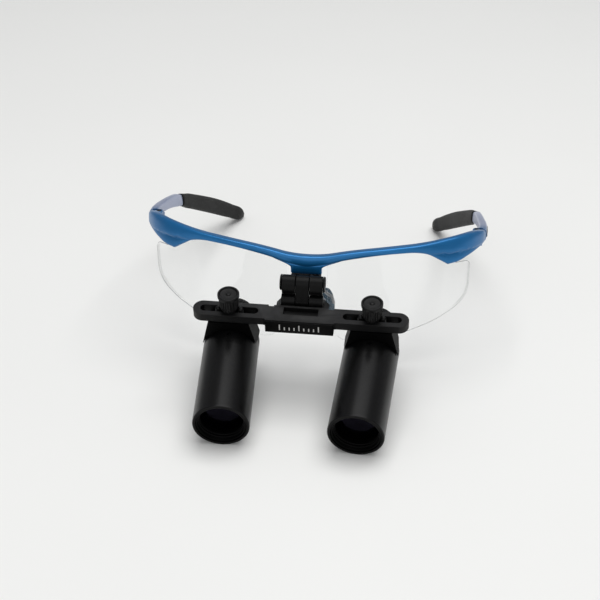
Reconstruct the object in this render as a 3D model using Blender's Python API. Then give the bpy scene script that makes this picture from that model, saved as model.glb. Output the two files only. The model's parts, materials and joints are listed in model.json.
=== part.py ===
"""Flip-up binocular loupes on a half-rim spectacle frame.

Dimensions are in millimetres; the scene is in metres.
The spectacle frame is laid out in its own axes: X across the face, Y from the
lenses back along the temples, Z up, with zero close to the middle of the brow
bar. Front is -Y, "left" is -X and "right" is +X. The whole thing stands on the
front rims of the two telescopes and on the tips of the temples.
"""
import math

import bmesh
import bpy
from mathutils import Matrix, Vector

for old_object in list(bpy.data.objects):
    bpy.data.objects.remove(old_object, do_unlink=True)
for old_mesh in list(bpy.data.meshes):
    bpy.data.meshes.remove(old_mesh)

# --------------------------------------------------------- shared dimensions
MM = 0.001
GAP = 0.3                    # clearance between pieces that touch
SIDES = ((-1, "left"), (1, "right"))
ORIGIN = (0, 0, 0)

STAND_TILT = 9.45            # degrees the frame leans back when it stands
STAND_Y = -44.14             # moves the middle of the footprint to the origin
STAND_Z = 55.86              # lifts the lowest rim to the bench

# temple fold joint, shared by the brow's ears and the temple's tongue
HINGE_X, HINGE_Y = 70.4, 38.9
HINGE_R = 2.2
EARS_LOW, EARS_TOP = 0.2, 6.2
TONGUE_LOW, TONGUE_TOP = 1.8, 3.9
FOLD_PIN_R, FOLD_HEAD_R = 0.9, 1.45
FOLD_HEAD_SEAT = 5.6         # underside of the pin's sunk head

# flip-up hinge: an upper and a lower pivot joined by a link
UPPER_Y, UPPER_Z = -10.3, -6.4
LOWER_Y, LOWER_Z = -10.0, -14.0
LINK_Y, LINK_Z = LOWER_Y - UPPER_Y, LOWER_Z - UPPER_Z    # from upper to lower pivot
UPPER_R, LOWER_R = 3.3, 2.6
LINK_R = 3.1                 # upper end of the link
LINK_HALF = 2.7
BRACKET_HALF, CARRIAGE_HALF = 8.3, 8.6
PIVOT_PIN_R = 1.1
BORE_REACH = 12              # half length of the tools that bore the pivots

# crossbar, in its own axes: X across, -Y forward, Z up
BAR_Y, BAR_Z = -16.0, -18.65
BAR_LEAN = 24.0              # degrees the top leans forward
BAR_TOP, BAR_LOW = 1.45, -2.25
ARM_DEPTH = 4.15             # half depth of an arm

# telescopes
SCOPE_X = 29.3               # half the pupil distance at rest
SCOPE_DROP = 18.0
TOE_IN = 3.05
TUBE_R = 11.5


# ------------------------------------------------------------------ materials
def material(name, rgb, rough, metal=0.0, alpha=1.0):
    made = bpy.data.materials.new(name)
    made.use_nodes = True
    inputs = made.node_tree.nodes["Principled BSDF"].inputs
    inputs["Base Color"].default_value = (*rgb, 1.0)
    inputs["Roughness"].default_value = rough
    inputs["Metallic"].default_value = metal
    inputs["Alpha"].default_value = alpha
    return made


BLUE = material("blue_lacquer", rgb=(0.012, 0.11, 0.42), rough=0.25, metal=0.6)
CLEAR = material("clear_polycarbonate", rgb=(0.93, 0.95, 0.96), rough=0.02, alpha=0.2)
RUBBER = material("grey_rubber", rgb=(0.035, 0.034, 0.033), rough=0.75)
BLACK = material("black_anodised", rgb=(0.012, 0.012, 0.013), rough=0.35, metal=0.7)
MATT = material("matt_black", rgb=(0.01, 0.01, 0.011), rough=0.6, metal=0.2)
STEEL = material("steel", rgb=(0.55, 0.55, 0.56), rough=0.3, metal=1.0)
GLASS = material("coated_glass", rgb=(0.25, 0.3, 0.38), rough=0.03, alpha=0.5)
SILICONE = material("soft_silicone", rgb=(0.72, 0.78, 0.82), rough=0.4, alpha=0.6)
PLATE = material("plate_black", rgb=(0.015, 0.015, 0.016), rough=0.45, metal=0.3)


# ------------------------------------------------------------ scene helpers
def empty(name, parent, at, rot=(0, 0, 0)):
    """Axes that carry other pieces; rot is in degrees."""
    axes = bpy.data.objects.new(name, None)
    axes.empty_display_size = 0.01
    axes.location = Vector(at) * MM
    axes.rotation_euler = [math.radians(angle) for angle in rot]
    bpy.context.scene.collection.objects.link(axes)
    axes.parent = parent
    return axes


def solid(name, shape, parent, mat, at=ORIGIN, smooth=35.0):
    """Object from (verts, faces); edges sharper than smooth degrees stay sharp, 0 is flat."""
    verts, faces = shape
    mesh = bpy.data.meshes.new(name)
    mesh.from_pydata([Vector(vert) * MM for vert in verts], [], faces)
    work = bmesh.new()
    work.from_mesh(mesh)
    bmesh.ops.remove_doubles(work, verts=work.verts, dist=1e-7)
    bmesh.ops.recalc_face_normals(work, faces=work.faces)
    work.to_mesh(mesh)
    work.free()
    if smooth:
        mesh.shade_smooth()
        mesh.set_sharp_from_angle(angle=math.radians(smooth))
    piece = bpy.data.objects.new(name, mesh)
    bpy.context.scene.collection.objects.link(piece)
    piece.parent = parent
    piece.location = Vector(at) * MM
    if mat:
        mesh.materials.append(mat)
    return piece


def combine(piece, operation, name, shape, parent, at=ORIGIN, smooth=0):
    """Apply a hidden tool body to a piece."""
    tool = solid(name, shape, parent, None, at, smooth)
    tool.hide_render = True
    tool.display_type = "WIRE"
    modifier = piece.modifiers.new(operation.lower(), "BOOLEAN")
    modifier.object = tool
    modifier.operation = operation
    modifier.solver = "EXACT"


def cut(piece, *tool, **options):
    combine(piece, "DIFFERENCE", *tool, **options)


def join(piece, *tool, **options):
    combine(piece, "UNION", *tool, **options)


# ------------------------------------------------- shapes, as (verts, faces)
def loft(rings):
    """Skin over rings of equal point count, with closed ends."""
    count = len(rings[0])
    verts = [point for ring in rings for point in ring]
    faces = []
    for i in range(len(rings) - 1):
        here, there = i * count, (i + 1) * count
        for k in range(count):
            j = (k + 1) % count
            faces.append((here + k, here + j, there + j, there + k))
    faces.append(tuple(range(count))[::-1])
    faces.append(tuple(range(len(verts) - count, len(verts))))
    return verts, faces


FLUTE = 0.93                 # radius factor in the flutes of a turned body


def turned(profile, count, axis="Y", loop=False, fluted=()):
    """A turned body.

    profile: (radius, position along the axis); a loop is a ring.
    fluted: indices of the profile points that carry flutes.
    """
    verts, faces, rows = [], [], []
    for i, (radius, along) in enumerate(profile):
        row = []
        for k in range(1 if radius < 1e-9 else count):
            angle = 2 * math.pi * k / count
            reach = radius * (FLUTE if i in fluted and k % 2 else 1.0)
            c, s = reach * math.cos(angle), reach * math.sin(angle)
            row.append(len(verts))
            verts.append({"X": (along, c, s), "Y": (c, along, s), "Z": (c, s, along)}[axis])
        rows.append(row)
    following = rows[1:] + rows[:1] if loop else rows[1:]
    for row, after in zip(rows, following):
        for k in range(count):
            j = (k + 1) % count
            if len(row) == 1:
                faces.append((row[0], after[j], after[k]))
            elif len(after) == 1:
                faces.append((row[k], row[j], after[0]))
            else:
                faces.append((row[k], row[j], after[j], after[k]))
    return verts, faces


def rod(radius, low, high, count, axis):
    return turned([(0, low), (radius, low), (radius, high), (0, high)], count, axis)


def bar_along(outline, low, high, axis="Z"):
    """Straight extrusion of a flat outline."""
    def put(p, along):
        return {"X": (along, p[0], p[1]), "Y": (p[0], along, p[1]), "Z": (p[0], p[1], along)}[axis]
    return loft([[put(p, along) for p in outline] for along in (low, high)])


def box(x0, x1, y0, y1, z0, z1):
    x0, x1 = sorted((x0, x1))
    return bar_along([(x0, y0), (x1, y0), (x1, y1), (x0, y1)], z0, z1)


def wire(points, radius, count=8):
    """Round wire along points, none of whose directions is vertical."""
    points = [Vector(p) for p in points]
    rings = []
    for i, point in enumerate(points):
        along = (points[min(i + 1, len(points) - 1)] - points[max(i - 1, 0)]).normalized()
        level = along.cross(Vector((0, 0, 1))).normalized()
        steep = level.cross(along).normalized()
        angles = [2 * math.pi * k / count for k in range(count)]
        rings.append([point + (level * math.cos(a) + steep * math.sin(a)) * radius
                      for a in angles])
    return loft(rings)


# ------------------------------------------------------------- flat outlines
def arc(x, y, radius, start, end, steps):
    """Arc of steps + 1 points; angles in degrees."""
    angles = [math.radians(start + (end - start) * i / steps) for i in range(steps + 1)]
    return [(x + radius * math.cos(a), y + radius * math.sin(a)) for a in angles]


def circle(x, y, radius, count):
    return arc(x, y, radius, 0, 360 - 360 / count, count - 1)


def chamfered(half_x, half_y, corner):
    """Eight-cornered section."""
    in_x, in_y = half_x - corner, half_y - corner
    return [(-in_x, -half_y), (in_x, -half_y), (half_x, -in_y), (half_x, in_y),
            (in_x, half_y), (-in_x, half_y), (-half_x, in_y), (-half_x, -in_y)]


def squarish(width, height, power, count=12):
    """Rounded section; the lower the power, the squarer it is."""
    def ease(value):
        return math.copysign(abs(value) ** power, value)
    angles = [2 * math.pi * k / count for k in range(count)]
    return [(ease(math.cos(a)) * width / 2, ease(math.sin(a)) * height / 2) for a in angles]


def at_side(side, points):
    """Points drawn for the right side, mirrored when side is -1."""
    return [(side * p[0],) + tuple(p[1:]) for p in points]


# ------------------------------------------------------------------ skeleton
root = empty("stand", None, (0, STAND_Y, STAND_Z), (-STAND_TILT, 0, 0))
frame = empty("spectacle_frame", root, ORIGIN)
upper_axis = empty("upper_axis", root, (0, UPPER_Y, UPPER_Z))
lower_axis = empty("lower_axis", upper_axis, (0, LINK_Y, LINK_Z))
bar_axes = empty("bar_axes", lower_axis, (0, BAR_Y - LOWER_Y, BAR_Z - LOWER_Z), (BAR_LEAN, 0, 0))

# ------------------------------------------------------------- brow and lens
# half of the brow bar: x, y of the middle, top z, bottom z, thickness
BROW = (
    (0.0, 2.6, 1.7, -3.1, 5.0),
    (8.0, 3.0, 2.1, -2.0, 4.9),
    (15.0, 3.5, 3.4, 0.0, 4.6),
    (22.0, 4.3, 4.5, 1.4, 4.4),
    (30.0, 5.7, 5.4, 2.6, 4.4),
    (38.0, 7.6, 6.2, 3.3, 4.4),
    (45.0, 9.6, 6.9, 3.4, 4.4),
    (50.0, 11.5, 7.5, 2.3, 4.4),
    (54.0, 13.5, 8.0, -0.1, 4.6),
    (58.0, 15.9, 8.5, -2.8, 4.8),
    (62.0, 18.8, 8.9, -2.2, 5.0),
    (65.6, 22.7, 9.0, -0.8, 5.0),
    (68.8, 27.9, 8.6, 0.4, 4.8),
    (70.9, 32.4, 7.8, 1.2, 4.4),
    (71.9, 36.2, 6.9, 1.5, 4.2),
)
BROW_CORNER = 1.1            # largest corner cut; low sections get less
BROW_CORNER_SHARE = 0.45     # of the half height

# stem under the middle of the brow that carries the flip-up hinge: (y, z)
STEM_LOW = -6.3
STEM_SIDE = [(0.3, -2.9), (0.9, -1.4), (4.8, -1.4), (4.8, -5.6), (4.5, STEM_LOW),
             (1.5, STEM_LOW), (0.5, -3.6)]
STEM_HALF = 6.5

EARS_FRONT = 34.0            # the ears start inside the brow
TONGUE_ROOM_INWARD = 1.2
FOLD_HOLE_LOW, FOLD_HOLE_TOP = -4, 9

# clear lens: wrap, lean and outline (x, bottom z) over the curved face
LENS_Y = 2.9
LENS_WRAP_R = 140.0
LENS_EXTRA_FROM = 50.0       # beyond this x the wrap tightens
LENS_EXTRA = 0.012
LENS_LEAN = 15.0
LENS_THICK = 1.6
LENS_ROWS = 4
LENS_EDGE = (
    (8.6, -20.0), (9.4, -27.0), (10.7, -33.0), (12.6, -37.4), (15.5, -39.6),
    (20.0, -40.3), (28.0, -39.5), (38.0, -37.0), (47.0, -33.8), (55.0, -30.0),
    (60.0, -27.0), (64.6, -23.2), (66.9, -19.6), (67.9, -15.0),
)
LENS_IN_BROW = 1.3           # how far the lens edge sits up in the brow groove
LENS_FREE_X, LENS_FREE_Z = 61.0, -2.9   # outside this x the top edge is at most this high


def brow_shape():
    stations = [(-s[0],) + s[1:] for s in reversed(BROW[1:])] + list(BROW)
    rings = []
    for i, (x, y, top, bottom, thick) in enumerate(stations):
        before = stations[max(i - 1, 0)]
        after = stations[min(i + 1, len(stations) - 1)]
        along = Vector((after[0] - before[0], after[1] - before[1], 0)).normalized()
        forward = Vector((along.y, -along.x, 0))
        middle, half = (top + bottom) / 2, (top - bottom) / 2
        section = chamfered(thick / 2, half, min(BROW_CORNER, half * BROW_CORNER_SHARE))
        rings.append([Vector((x, y, middle + up)) + forward * out for out, up in section])
    return loft(rings)


def brow_underside(x):
    """Bottom z of the brow bar at x on the right side."""
    for inner, outer in zip(BROW, BROW[1:]):
        if x <= outer[0]:
            share = (x - inner[0]) / (outer[0] - inner[0])
            return inner[3] + (outer[3] - inner[3]) * share


def lens_y(x, z):
    return (LENS_Y + x * x / (2 * LENS_WRAP_R)
            + LENS_EXTRA * max(0.0, x - LENS_EXTRA_FROM) ** 2
            - math.tan(math.radians(LENS_LEAN)) * z)


def lens_shape(side, grow=0.0):
    """Curved sheet from its lower outline up into the brow; grow fattens it for the groove."""
    columns = []
    for x, low in LENS_EDGE:
        top = brow_underside(x) + LENS_IN_BROW
        if x > LENS_FREE_X:
            top = min(top, LENS_FREE_Z)
        columns.append([x, low - grow, top + grow])
    columns[0][0] -= grow
    columns[-1][0] += grow
    count, rows = len(columns), LENS_ROWS
    half = LENS_THICK / 2 + grow
    verts, faces = [], []
    for offset in (-half, half):
        for x, low, top in columns:
            for k in range(rows + 1):
                z = top + (low - top) * k / rows
                verts.append((side * x, lens_y(x, z) + offset, z))

    def vert(sheet, i, k):
        """Index of a point: sheet 0 is the front, 1 the back."""
        return (sheet * count + i) * (rows + 1) + k

    for i in range(count - 1):
        for k in range(rows):
            faces.append((vert(0, i, k), vert(0, i, k + 1),
                          vert(0, i + 1, k + 1), vert(0, i + 1, k)))
            faces.append((vert(1, i, k), vert(1, i + 1, k),
                          vert(1, i + 1, k + 1), vert(1, i, k + 1)))
        for k in (0, rows):
            faces.append((vert(0, i, k), vert(0, i + 1, k), vert(1, i + 1, k), vert(1, i, k)))
    for i in (0, count - 1):
        for k in range(rows):
            faces.append((vert(0, i, k), vert(1, i, k), vert(1, i, k + 1), vert(0, i, k + 1)))
    return verts, faces


def add_ears(brow, side, tag):
    """Two ears at the end of the brow, with the temple's tongue between them."""
    hinge_x = side * HINGE_X
    ears = arc(hinge_x, HINGE_Y, HINGE_R, 0, 180, 8)
    ears += [(hinge_x - HINGE_R, EARS_FRONT), (hinge_x + HINGE_R, EARS_FRONT)]
    join(brow, f"tool_ears_{tag}", bar_along(ears, EARS_LOW, EARS_TOP), frame)
    # room for the tongue, open on the inner side so that the temple can fold
    room_r = HINGE_R + GAP
    inward = HINGE_X - room_r - TONGUE_ROOM_INWARD
    room = arc(HINGE_X, HINGE_Y, room_r, -90, 180, 12)
    room += [(inward, HINGE_Y), (inward, HINGE_Y - room_r)]
    cut(brow, f"tool_tongue_room_{tag}",
        bar_along(at_side(side, room), TONGUE_LOW - GAP, TONGUE_TOP + GAP), frame)
    hole_r, head_r, seat = FOLD_PIN_R + GAP, FOLD_HEAD_R + GAP, FOLD_HEAD_SEAT - GAP
    hole = [(0, FOLD_HOLE_LOW), (hole_r, FOLD_HOLE_LOW), (hole_r, seat), (head_r, seat),
            (head_r, FOLD_HOLE_TOP), (0, FOLD_HOLE_TOP)]
    cut(brow, f"tool_fold_hole_{tag}", turned(hole, 12, "Z"), frame, at=(hinge_x, HINGE_Y, 0))


def build_brow():
    brow = solid("brow_frame", brow_shape(), frame, BLUE, smooth=38)
    join(brow, "tool_stem", bar_along(STEM_SIDE, -STEM_HALF, STEM_HALF, "X"), frame)
    for side, tag in SIDES:
        add_ears(brow, side, tag)
        cut(brow, f"tool_groove_{tag}", lens_shape(side, GAP), frame, smooth=40)
    return brow


def build_lenses():
    for side, tag in SIDES:
        solid(f"lens_{tag}", lens_shape(side), frame, CLEAR, smooth=40)


# ----------------------------------------------------------------- nose pads
# clip behind the stem: (x, z)
CLIP = [(-5.6, -4.6), (5.6, -4.6), (5.6, -0.9), (4.4, 0.6), (-4.4, 0.6), (-5.6, -0.9)]
CLIP_FRONT, CLIP_REAR = 5.4, 7.0
PAD_ARM_R = 0.7
PAD_ARM = [                  # centre line of the wire, from the clip to the pad
    (3.6, 7.3, -1.6), (3.9, 8.3, -1.8), (4.5, 9.2, -6.0), (5.0, 10.2, -11.0),
    (5.9, 11.0, -15.2), (8.2, 11.4, -17.8), (10.2, 12.6, -19.8), (11.0, 14.0, -22.8),
]
PAD_AT = (8.7, 15.6, -23.2)
PAD_FACING = Vector((-0.84, 0.54, 0.0)).normalized()   # towards the nose and back
PAD_SPLAY = 14.0             # degrees; the lower ends stand further apart
PAD_HALF_WIDTH, PAD_HALF_HEIGHT = 3.3, 6.4
PAD_DROP = 0.12              # makes the upper end wider than the lower
# through the pad's thickness: distance from the middle, size factor
PAD_LEVELS = ((-1.35, 0.55), (-0.9, 0.93), (0.0, 1.0), (0.9, 0.82), (1.35, 0.42))


def pad_shape(side):
    splay = math.radians(PAD_SPLAY)
    tall = Vector((-side * math.sin(splay), 0, math.cos(splay)))
    facing = Vector((side * PAD_FACING.x, PAD_FACING.y, 0))
    facing = (facing - tall * facing.dot(tall)).normalized()
    wide = tall.cross(facing) * side
    rings = []
    for level, size in PAD_LEVELS:
        ring = []
        for i in range(16):
            angle = 2 * math.pi * i / 16
            across = PAD_HALF_WIDTH * size * math.cos(angle) * (1.0 + PAD_DROP * math.sin(angle))
            up = PAD_HALF_HEIGHT * size * math.sin(angle)
            ring.append(wide * across + tall * up + facing * level)
        rings.append(ring)
    return loft(rings)


def build_nose_pads():
    solid("nose_clip", bar_along(CLIP, CLIP_FRONT, CLIP_REAR, "Y"), frame, MATT, smooth=0)
    for side, tag in SIDES:
        arm = wire(at_side(side, PAD_ARM), PAD_ARM_R)
        solid(f"pad_arm_{tag}", arm, frame, STEEL, smooth=60)
        pad_axis = empty(f"pad_axis_{tag}", frame, at_side(side, [PAD_AT])[0])
        solid(f"nose_pad_{tag}", pad_shape(side), pad_axis, SILICONE, smooth=60)


# --------------------------------------------------------------- temple arms
# y, x of the middle, top z, bottom z, thickness
TEMPLE = (
    (38.0, 72.2, 6.5, 1.2, 4.0),
    (44.0, 72.7, 6.2, 1.0, 3.8),
    (52.0, 72.7, 5.6, 0.6, 3.6),
    (60.0, 72.1, 4.9, -0.2, 3.4),
    (70.0, 71.3, 3.8, -1.8, 3.2),
    (78.0, 70.7, 2.5, -3.6, 3.2),
    (86.6, 70.1, 0.7, -5.9, 3.2),
)
TEMPLE_CORNER, TANG_CORNER = 0.9, 0.35
# soft sleeve on the temple's end: centre line (x, y, z), height, thickness
SLEEVE = (
    (70.1, 87.0, -2.6, 7.2, 4.4),
    (67.4, 101.0, -7.2, 7.2, 5.0),
    (64.2, 114.0, -11.8, 7.6, 5.4),
    (60.5, 128.0, -17.0, 7.8, 5.4),
    (54.8, 144.5, -24.0, 7.0, 5.0),
    (51.3, 153.5, -28.0, 5.6, 4.2),
    (50.3, 156.4, -29.3, 3.0, 2.4),
)
JOINT_SLANT = 0.55           # the sleeve's mouth leans forward at the top
TANG_END = 4                 # sleeve station where the tang stops
TANG_ROOT_SIZE = (4.2, 1.6)  # height, thickness where the tang leaves the arm
TANG_SIZE = (3.4, 1.5)
BORE_MOUTH_HEIGHT, BORE_HEIGHT, BORE_WIDTH = 5.0, 4.1, 2.2
BORE_DEEPER = (-0.45, 1.4, -0.6)       # the bore runs on past the tang
SLEEVE_POWER, BORE_POWER = 0.72, 0.5   # roundness of the sections

# the tongue's root in the arm, after the arc around the fold axis: (x, y)
TONGUE_ROOT = [(HINGE_X + HINGE_R, 45.5), (HINGE_X - HINGE_R * 0.5, 45.5),
               (HINGE_X - HINGE_R, 43.0)]
TONGUE_OVERLAP = 0.12        # the ear rooms trim this off again
EAR_ROOM_GAP = 0.35
EAR_ROOM_EXTRA = 2           # beyond the ears' outer faces

# black inlay in a pocket on the outside of the arm
INLAY_X, INLAY_Y, INLAY_Z = (74.25, 74.75), (41.3, 48.3), (2.2, 5.0)
POCKET_OUT = 77

# fold pin: sunk head above, riveted one below
FOLD_PIN = [(0, 6.1), (1.3, 6.1), (FOLD_HEAD_R, 5.95), (FOLD_HEAD_R, FOLD_HEAD_SEAT),
            (FOLD_PIN_R, FOLD_HEAD_SEAT), (FOLD_PIN_R, -0.1), (1.6, -0.1), (1.6, -0.7), (0, -0.7)]


def temple_shape(side):
    rings = []
    last = len(TEMPLE) - 1
    for i, (y, x, top, bottom, thick) in enumerate(TEMPLE):
        before, after = TEMPLE[max(i - 1, 0)], TEMPLE[min(i + 1, last)]
        along = Vector((after[1] - before[1], after[0] - before[0], 0)).normalized()
        outward = Vector((along.y, -along.x, 0))
        middle = (top + bottom) / 2
        slant = JOINT_SLANT if i == last else 0.0
        section = chamfered(thick / 2, (top - bottom) / 2, TEMPLE_CORNER)
        rings.append([Vector((x, y - slant * up, middle + up)) + outward * out
                      for out, up in section])
    # tang that goes into the sleeve, from the arm's last station
    tang = [(x, y, middle, *TANG_ROOT_SIZE, JOINT_SLANT)]
    tang += [(*station[:3], *TANG_SIZE, 0.0) for station in SLEEVE[1:TANG_END + 1]]
    for x, y, z, height, thick, slant in tang:
        rings.append([(x + out, y - slant * up, z + up)
                      for out, up in chamfered(thick / 2, height / 2, TANG_CORNER)])
    return loft([at_side(side, ring) for ring in rings])


def sleeve_shape(side):
    """Skin from the blind end of the bore out, over the mouth and along the outside."""
    outer, inner = [], []
    for i, (x, y, z, height, thick) in enumerate(SLEEVE):
        section = squarish(thick, height, SLEEVE_POWER)
        if i == 0:                       # slanted mouth against the arm
            outer.append([(x + out, y - JOINT_SLANT * up, z + up) for out, up in section])
            continue
        before = Vector(SLEEVE[i - 1][:3])
        after = Vector(SLEEVE[min(i + 1, len(SLEEVE) - 1)][:3])
        along = (after - before).normalized()
        wide = along.cross(Vector((0, 0, 1))).normalized()
        tall = wide.cross(along).normalized()
        outer.append([Vector((x, y, z)) + wide * out + tall * up for out, up in section])
    for i, station in enumerate(SLEEVE[:TANG_END + 1]):
        x, y, z = station[:3]
        if i == TANG_END:
            x, y, z = x + BORE_DEEPER[0], y + BORE_DEEPER[1], z + BORE_DEEPER[2]
        height, slant = (BORE_HEIGHT, 0.0) if i else (BORE_MOUTH_HEIGHT, JOINT_SLANT)
        inner.append([(x + out, y - slant * up, z + up)
                      for out, up in squarish(BORE_WIDTH, height, BORE_POWER)])
    return loft([at_side(side, ring) for ring in inner[::-1] + outer])


def build_temple(side, tag):
    hinge_x = side * HINGE_X
    fold = empty(f"fold_axis_{tag}", frame, (hinge_x, HINGE_Y, 0))
    back = (-hinge_x, -HINGE_Y, 0)       # the pieces are drawn in the frame's axes
    arm = solid(f"temple_{tag}", temple_shape(side), fold, BLUE, at=back, smooth=38)
    tongue = at_side(side, arc(HINGE_X, HINGE_Y, HINGE_R, 180, 360, 8) + TONGUE_ROOT)
    join(arm, f"tool_tongue_{tag}",
         bar_along(tongue, TONGUE_LOW - TONGUE_OVERLAP, TONGUE_TOP + TONGUE_OVERLAP),
         fold, at=back)
    ear_rooms = ((EARS_LOW - EAR_ROOM_EXTRA, TONGUE_LOW), (TONGUE_TOP, EARS_TOP + EAR_ROOM_EXTRA))
    ear_round = circle(hinge_x, HINGE_Y, HINGE_R + EAR_ROOM_GAP, 16)
    for k, (low, top) in enumerate(ear_rooms):
        cut(arm, f"tool_ear_room_{tag}_{k}", bar_along(ear_round, low, top), fold, at=back)
    hole = circle(hinge_x, HINGE_Y, FOLD_PIN_R + GAP, 12)
    cut(arm, f"tool_temple_hole_{tag}", bar_along(hole, FOLD_HOLE_LOW, FOLD_HOLE_TOP),
        fold, at=back)
    pocket = box(side * (INLAY_X[0] - GAP), side * POCKET_OUT, INLAY_Y[0] - GAP, INLAY_Y[1] + GAP,
                 INLAY_Z[0] - GAP, INLAY_Z[1] + GAP)
    cut(arm, f"tool_pocket_{tag}", pocket, fold, at=back)
    inlay = box(side * INLAY_X[0], side * INLAY_X[1], *INLAY_Y, *INLAY_Z)
    solid(f"temple_inlay_{tag}", inlay, fold, MATT, at=back, smooth=0)
    solid(f"temple_tip_{tag}", sleeve_shape(side), fold, RUBBER, at=back, smooth=60)
    solid(f"temple_pin_{tag}", turned(FOLD_PIN, 12, "Z"), frame, STEEL,
          at=(hinge_x, HINGE_Y, 0), smooth=40)


# -------------------------------------------------------------- flip-up hinge
CHEEK_LOBE = 1.4             # how far the cheeks' lower arc lies below the pivot
CHEEK_REAR = [(-6.9, -9.0), (-6.9, -6.9)]                # (y, z)
FOOT_TOP, FOOT_REAR, FOOT_HALF = STEM_LOW - GAP, 4.8, 6.2
FOOT_SIDE = [(-9.0, -8.9), (FOOT_REAR, -8.6), (FOOT_REAR, -6.9),
             (FOOT_REAR - 0.6, FOOT_TOP), (-9.0, FOOT_TOP)]   # (y, z)
LINK_ROOM_GAP, LINK_ROOM_LOW = 0.35, -12.0
FOOT_SCREW_X, FOOT_SCREW_Y, FOOT_SCREW_R = 3.6, 2.9, 0.8
FOOT_SCREW = [(0, -4.8), (FOOT_SCREW_R, -4.8), (FOOT_SCREW_R, -9.2), (1.7, -9.2),
              (1.7, -9.8), (1.4, -10.1), (0, -10.1)]
FOOT_HOLE_Z = (-12, -5)
STEM_HOLE_Z = (-8, -4.4)
UPPER_HEAD = BRACKET_HALF + GAP          # inner face of the upper pin's heads
# half of each pivot pin, from the left end: (radius, x)
UPPER_PIN = [(0, -9.3), (3.0, -9.3), (3.3, -9.0), (3.3, -UPPER_HEAD), (PIVOT_PIN_R, -UPPER_HEAD)]
LOWER_PIN = [(0, -8.9), (0.8, -8.9), (PIVOT_PIN_R, -CARRIAGE_HALF)]

CARRIAGE_FRONT = ARM_DEPTH + GAP
CARRIAGE_SHELF = 1.1         # top of the carriage ahead of the knuckles
CARRIAGE_SLOT_GAP = 0.4
CARRIAGE_BASE = [(-11.0, BAR_LOW), (11.0, BAR_LOW), (8.9, 0.5), (-8.9, 0.5)]   # (x, z)
CARRIAGE_BASE_REAR = 10.0


def pivot_bore():
    return rod(PIVOT_PIN_R + GAP, -BORE_REACH, BORE_REACH, 16, "X")


def pivot_pin(half):
    return turned(half + [(radius, -x) for radius, x in reversed(half)], 20, "X")


def build_bracket(brow):
    """Cheeks around the upper pivot and a foot screwed under the stem."""
    cheeks = arc(UPPER_Y, UPPER_Z, UPPER_R, 50, 180, 9)
    cheeks += arc(UPPER_Y, UPPER_Z - CHEEK_LOBE, UPPER_R, 180, 300, 8) + CHEEK_REAR
    bracket = solid("bridge_bracket", bar_along(cheeks, -BRACKET_HALF, BRACKET_HALF, "X"),
                    frame, BLACK)
    join(bracket, "tool_foot", bar_along(FOOT_SIDE, -FOOT_HALF, FOOT_HALF, "X"), frame)
    room_r = UPPER_R + LINK_ROOM_GAP
    room = arc(UPPER_Y, UPPER_Z, room_r, 0, 180, 14)
    room += [(UPPER_Y - room_r, LINK_ROOM_LOW), (UPPER_Y + room_r, LINK_ROOM_LOW)]
    cut(bracket, "tool_link_room", bar_along(room, -LINK_HALF - GAP, LINK_HALF + GAP, "X"), frame)
    cut(bracket, "tool_up_bore", pivot_bore(), frame, at=(0, UPPER_Y, UPPER_Z))
    hole_r = FOOT_SCREW_R + GAP
    for side, tag in SIDES:
        place = (side * FOOT_SCREW_X, FOOT_SCREW_Y, 0)
        cut(bracket, f"tool_screw_hole_{tag}", rod(hole_r, *FOOT_HOLE_Z, 12, "Z"), frame, at=place)
        cut(brow, f"tool_screw_seat_{tag}", rod(hole_r, *STEM_HOLE_Z, 12, "Z"), frame, at=place)
        solid(f"bracket_screw_{tag}", turned(FOOT_SCREW, 12, "Z"), frame, STEEL,
              at=place, smooth=40)


def build_link():
    """Flat dog bone between the two pivots."""
    outline = arc(0, 0, LINK_R, -15, 195, 12) + arc(LINK_Y, LINK_Z, LOWER_R, 175, 365, 12)
    link = solid("hinge_link", bar_along(outline, -LINK_HALF, LINK_HALF, "X"), upper_axis, BLACK)
    for k, (y, z) in enumerate(((0, 0), (LINK_Y, LINK_Z))):
        cut(link, f"tool_link_bore_{k}", rod(PIVOT_PIN_R + GAP, -6, 6, 16, "X"), upper_axis,
            at=(0, y, z))


def build_pivot_pins():
    solid("upper_pin", pivot_pin(UPPER_PIN), frame, BLACK, at=(0, UPPER_Y, UPPER_Z), smooth=40)
    solid("lower_pin", pivot_pin(LOWER_PIN), lower_axis, BLACK, smooth=40)


def build_carriage():
    """Knuckles on the lower pivot and a base behind the crossbar."""
    to_pivot = Vector((0, LOWER_Y - BAR_Y, LOWER_Z - BAR_Z))
    pivot = Matrix.Rotation(math.radians(-BAR_LEAN), 3, "X") @ to_pivot    # in bar axes
    outline = [(CARRIAGE_FRONT, BAR_LOW), (CARRIAGE_FRONT, CARRIAGE_SHELF),
               (pivot.y - LOWER_R + 0.1, CARRIAGE_SHELF)]
    outline += arc(pivot.y, pivot.z, LOWER_R, 180, 0, 12) + [(pivot.y + LOWER_R, BAR_LOW)]
    carriage = solid("hinge_carriage", bar_along(outline, -CARRIAGE_HALF, CARRIAGE_HALF, "X"),
                     bar_axes, BLACK)
    join(carriage, "tool_carriage_base",
         bar_along(CARRIAGE_BASE, CARRIAGE_FRONT, CARRIAGE_BASE_REAR, "Y"), bar_axes)
    slot = circle(pivot.y, pivot.z, LOWER_R + CARRIAGE_SLOT_GAP, 24)
    cut(carriage, "tool_carriage_slot",
        bar_along(slot, -LINK_HALF - GAP, LINK_HALF + GAP, "X"), bar_axes)
    cut(carriage, "tool_low_bore", pivot_bore(), bar_axes, at=(0, pivot.y, pivot.z))
    return carriage


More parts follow.
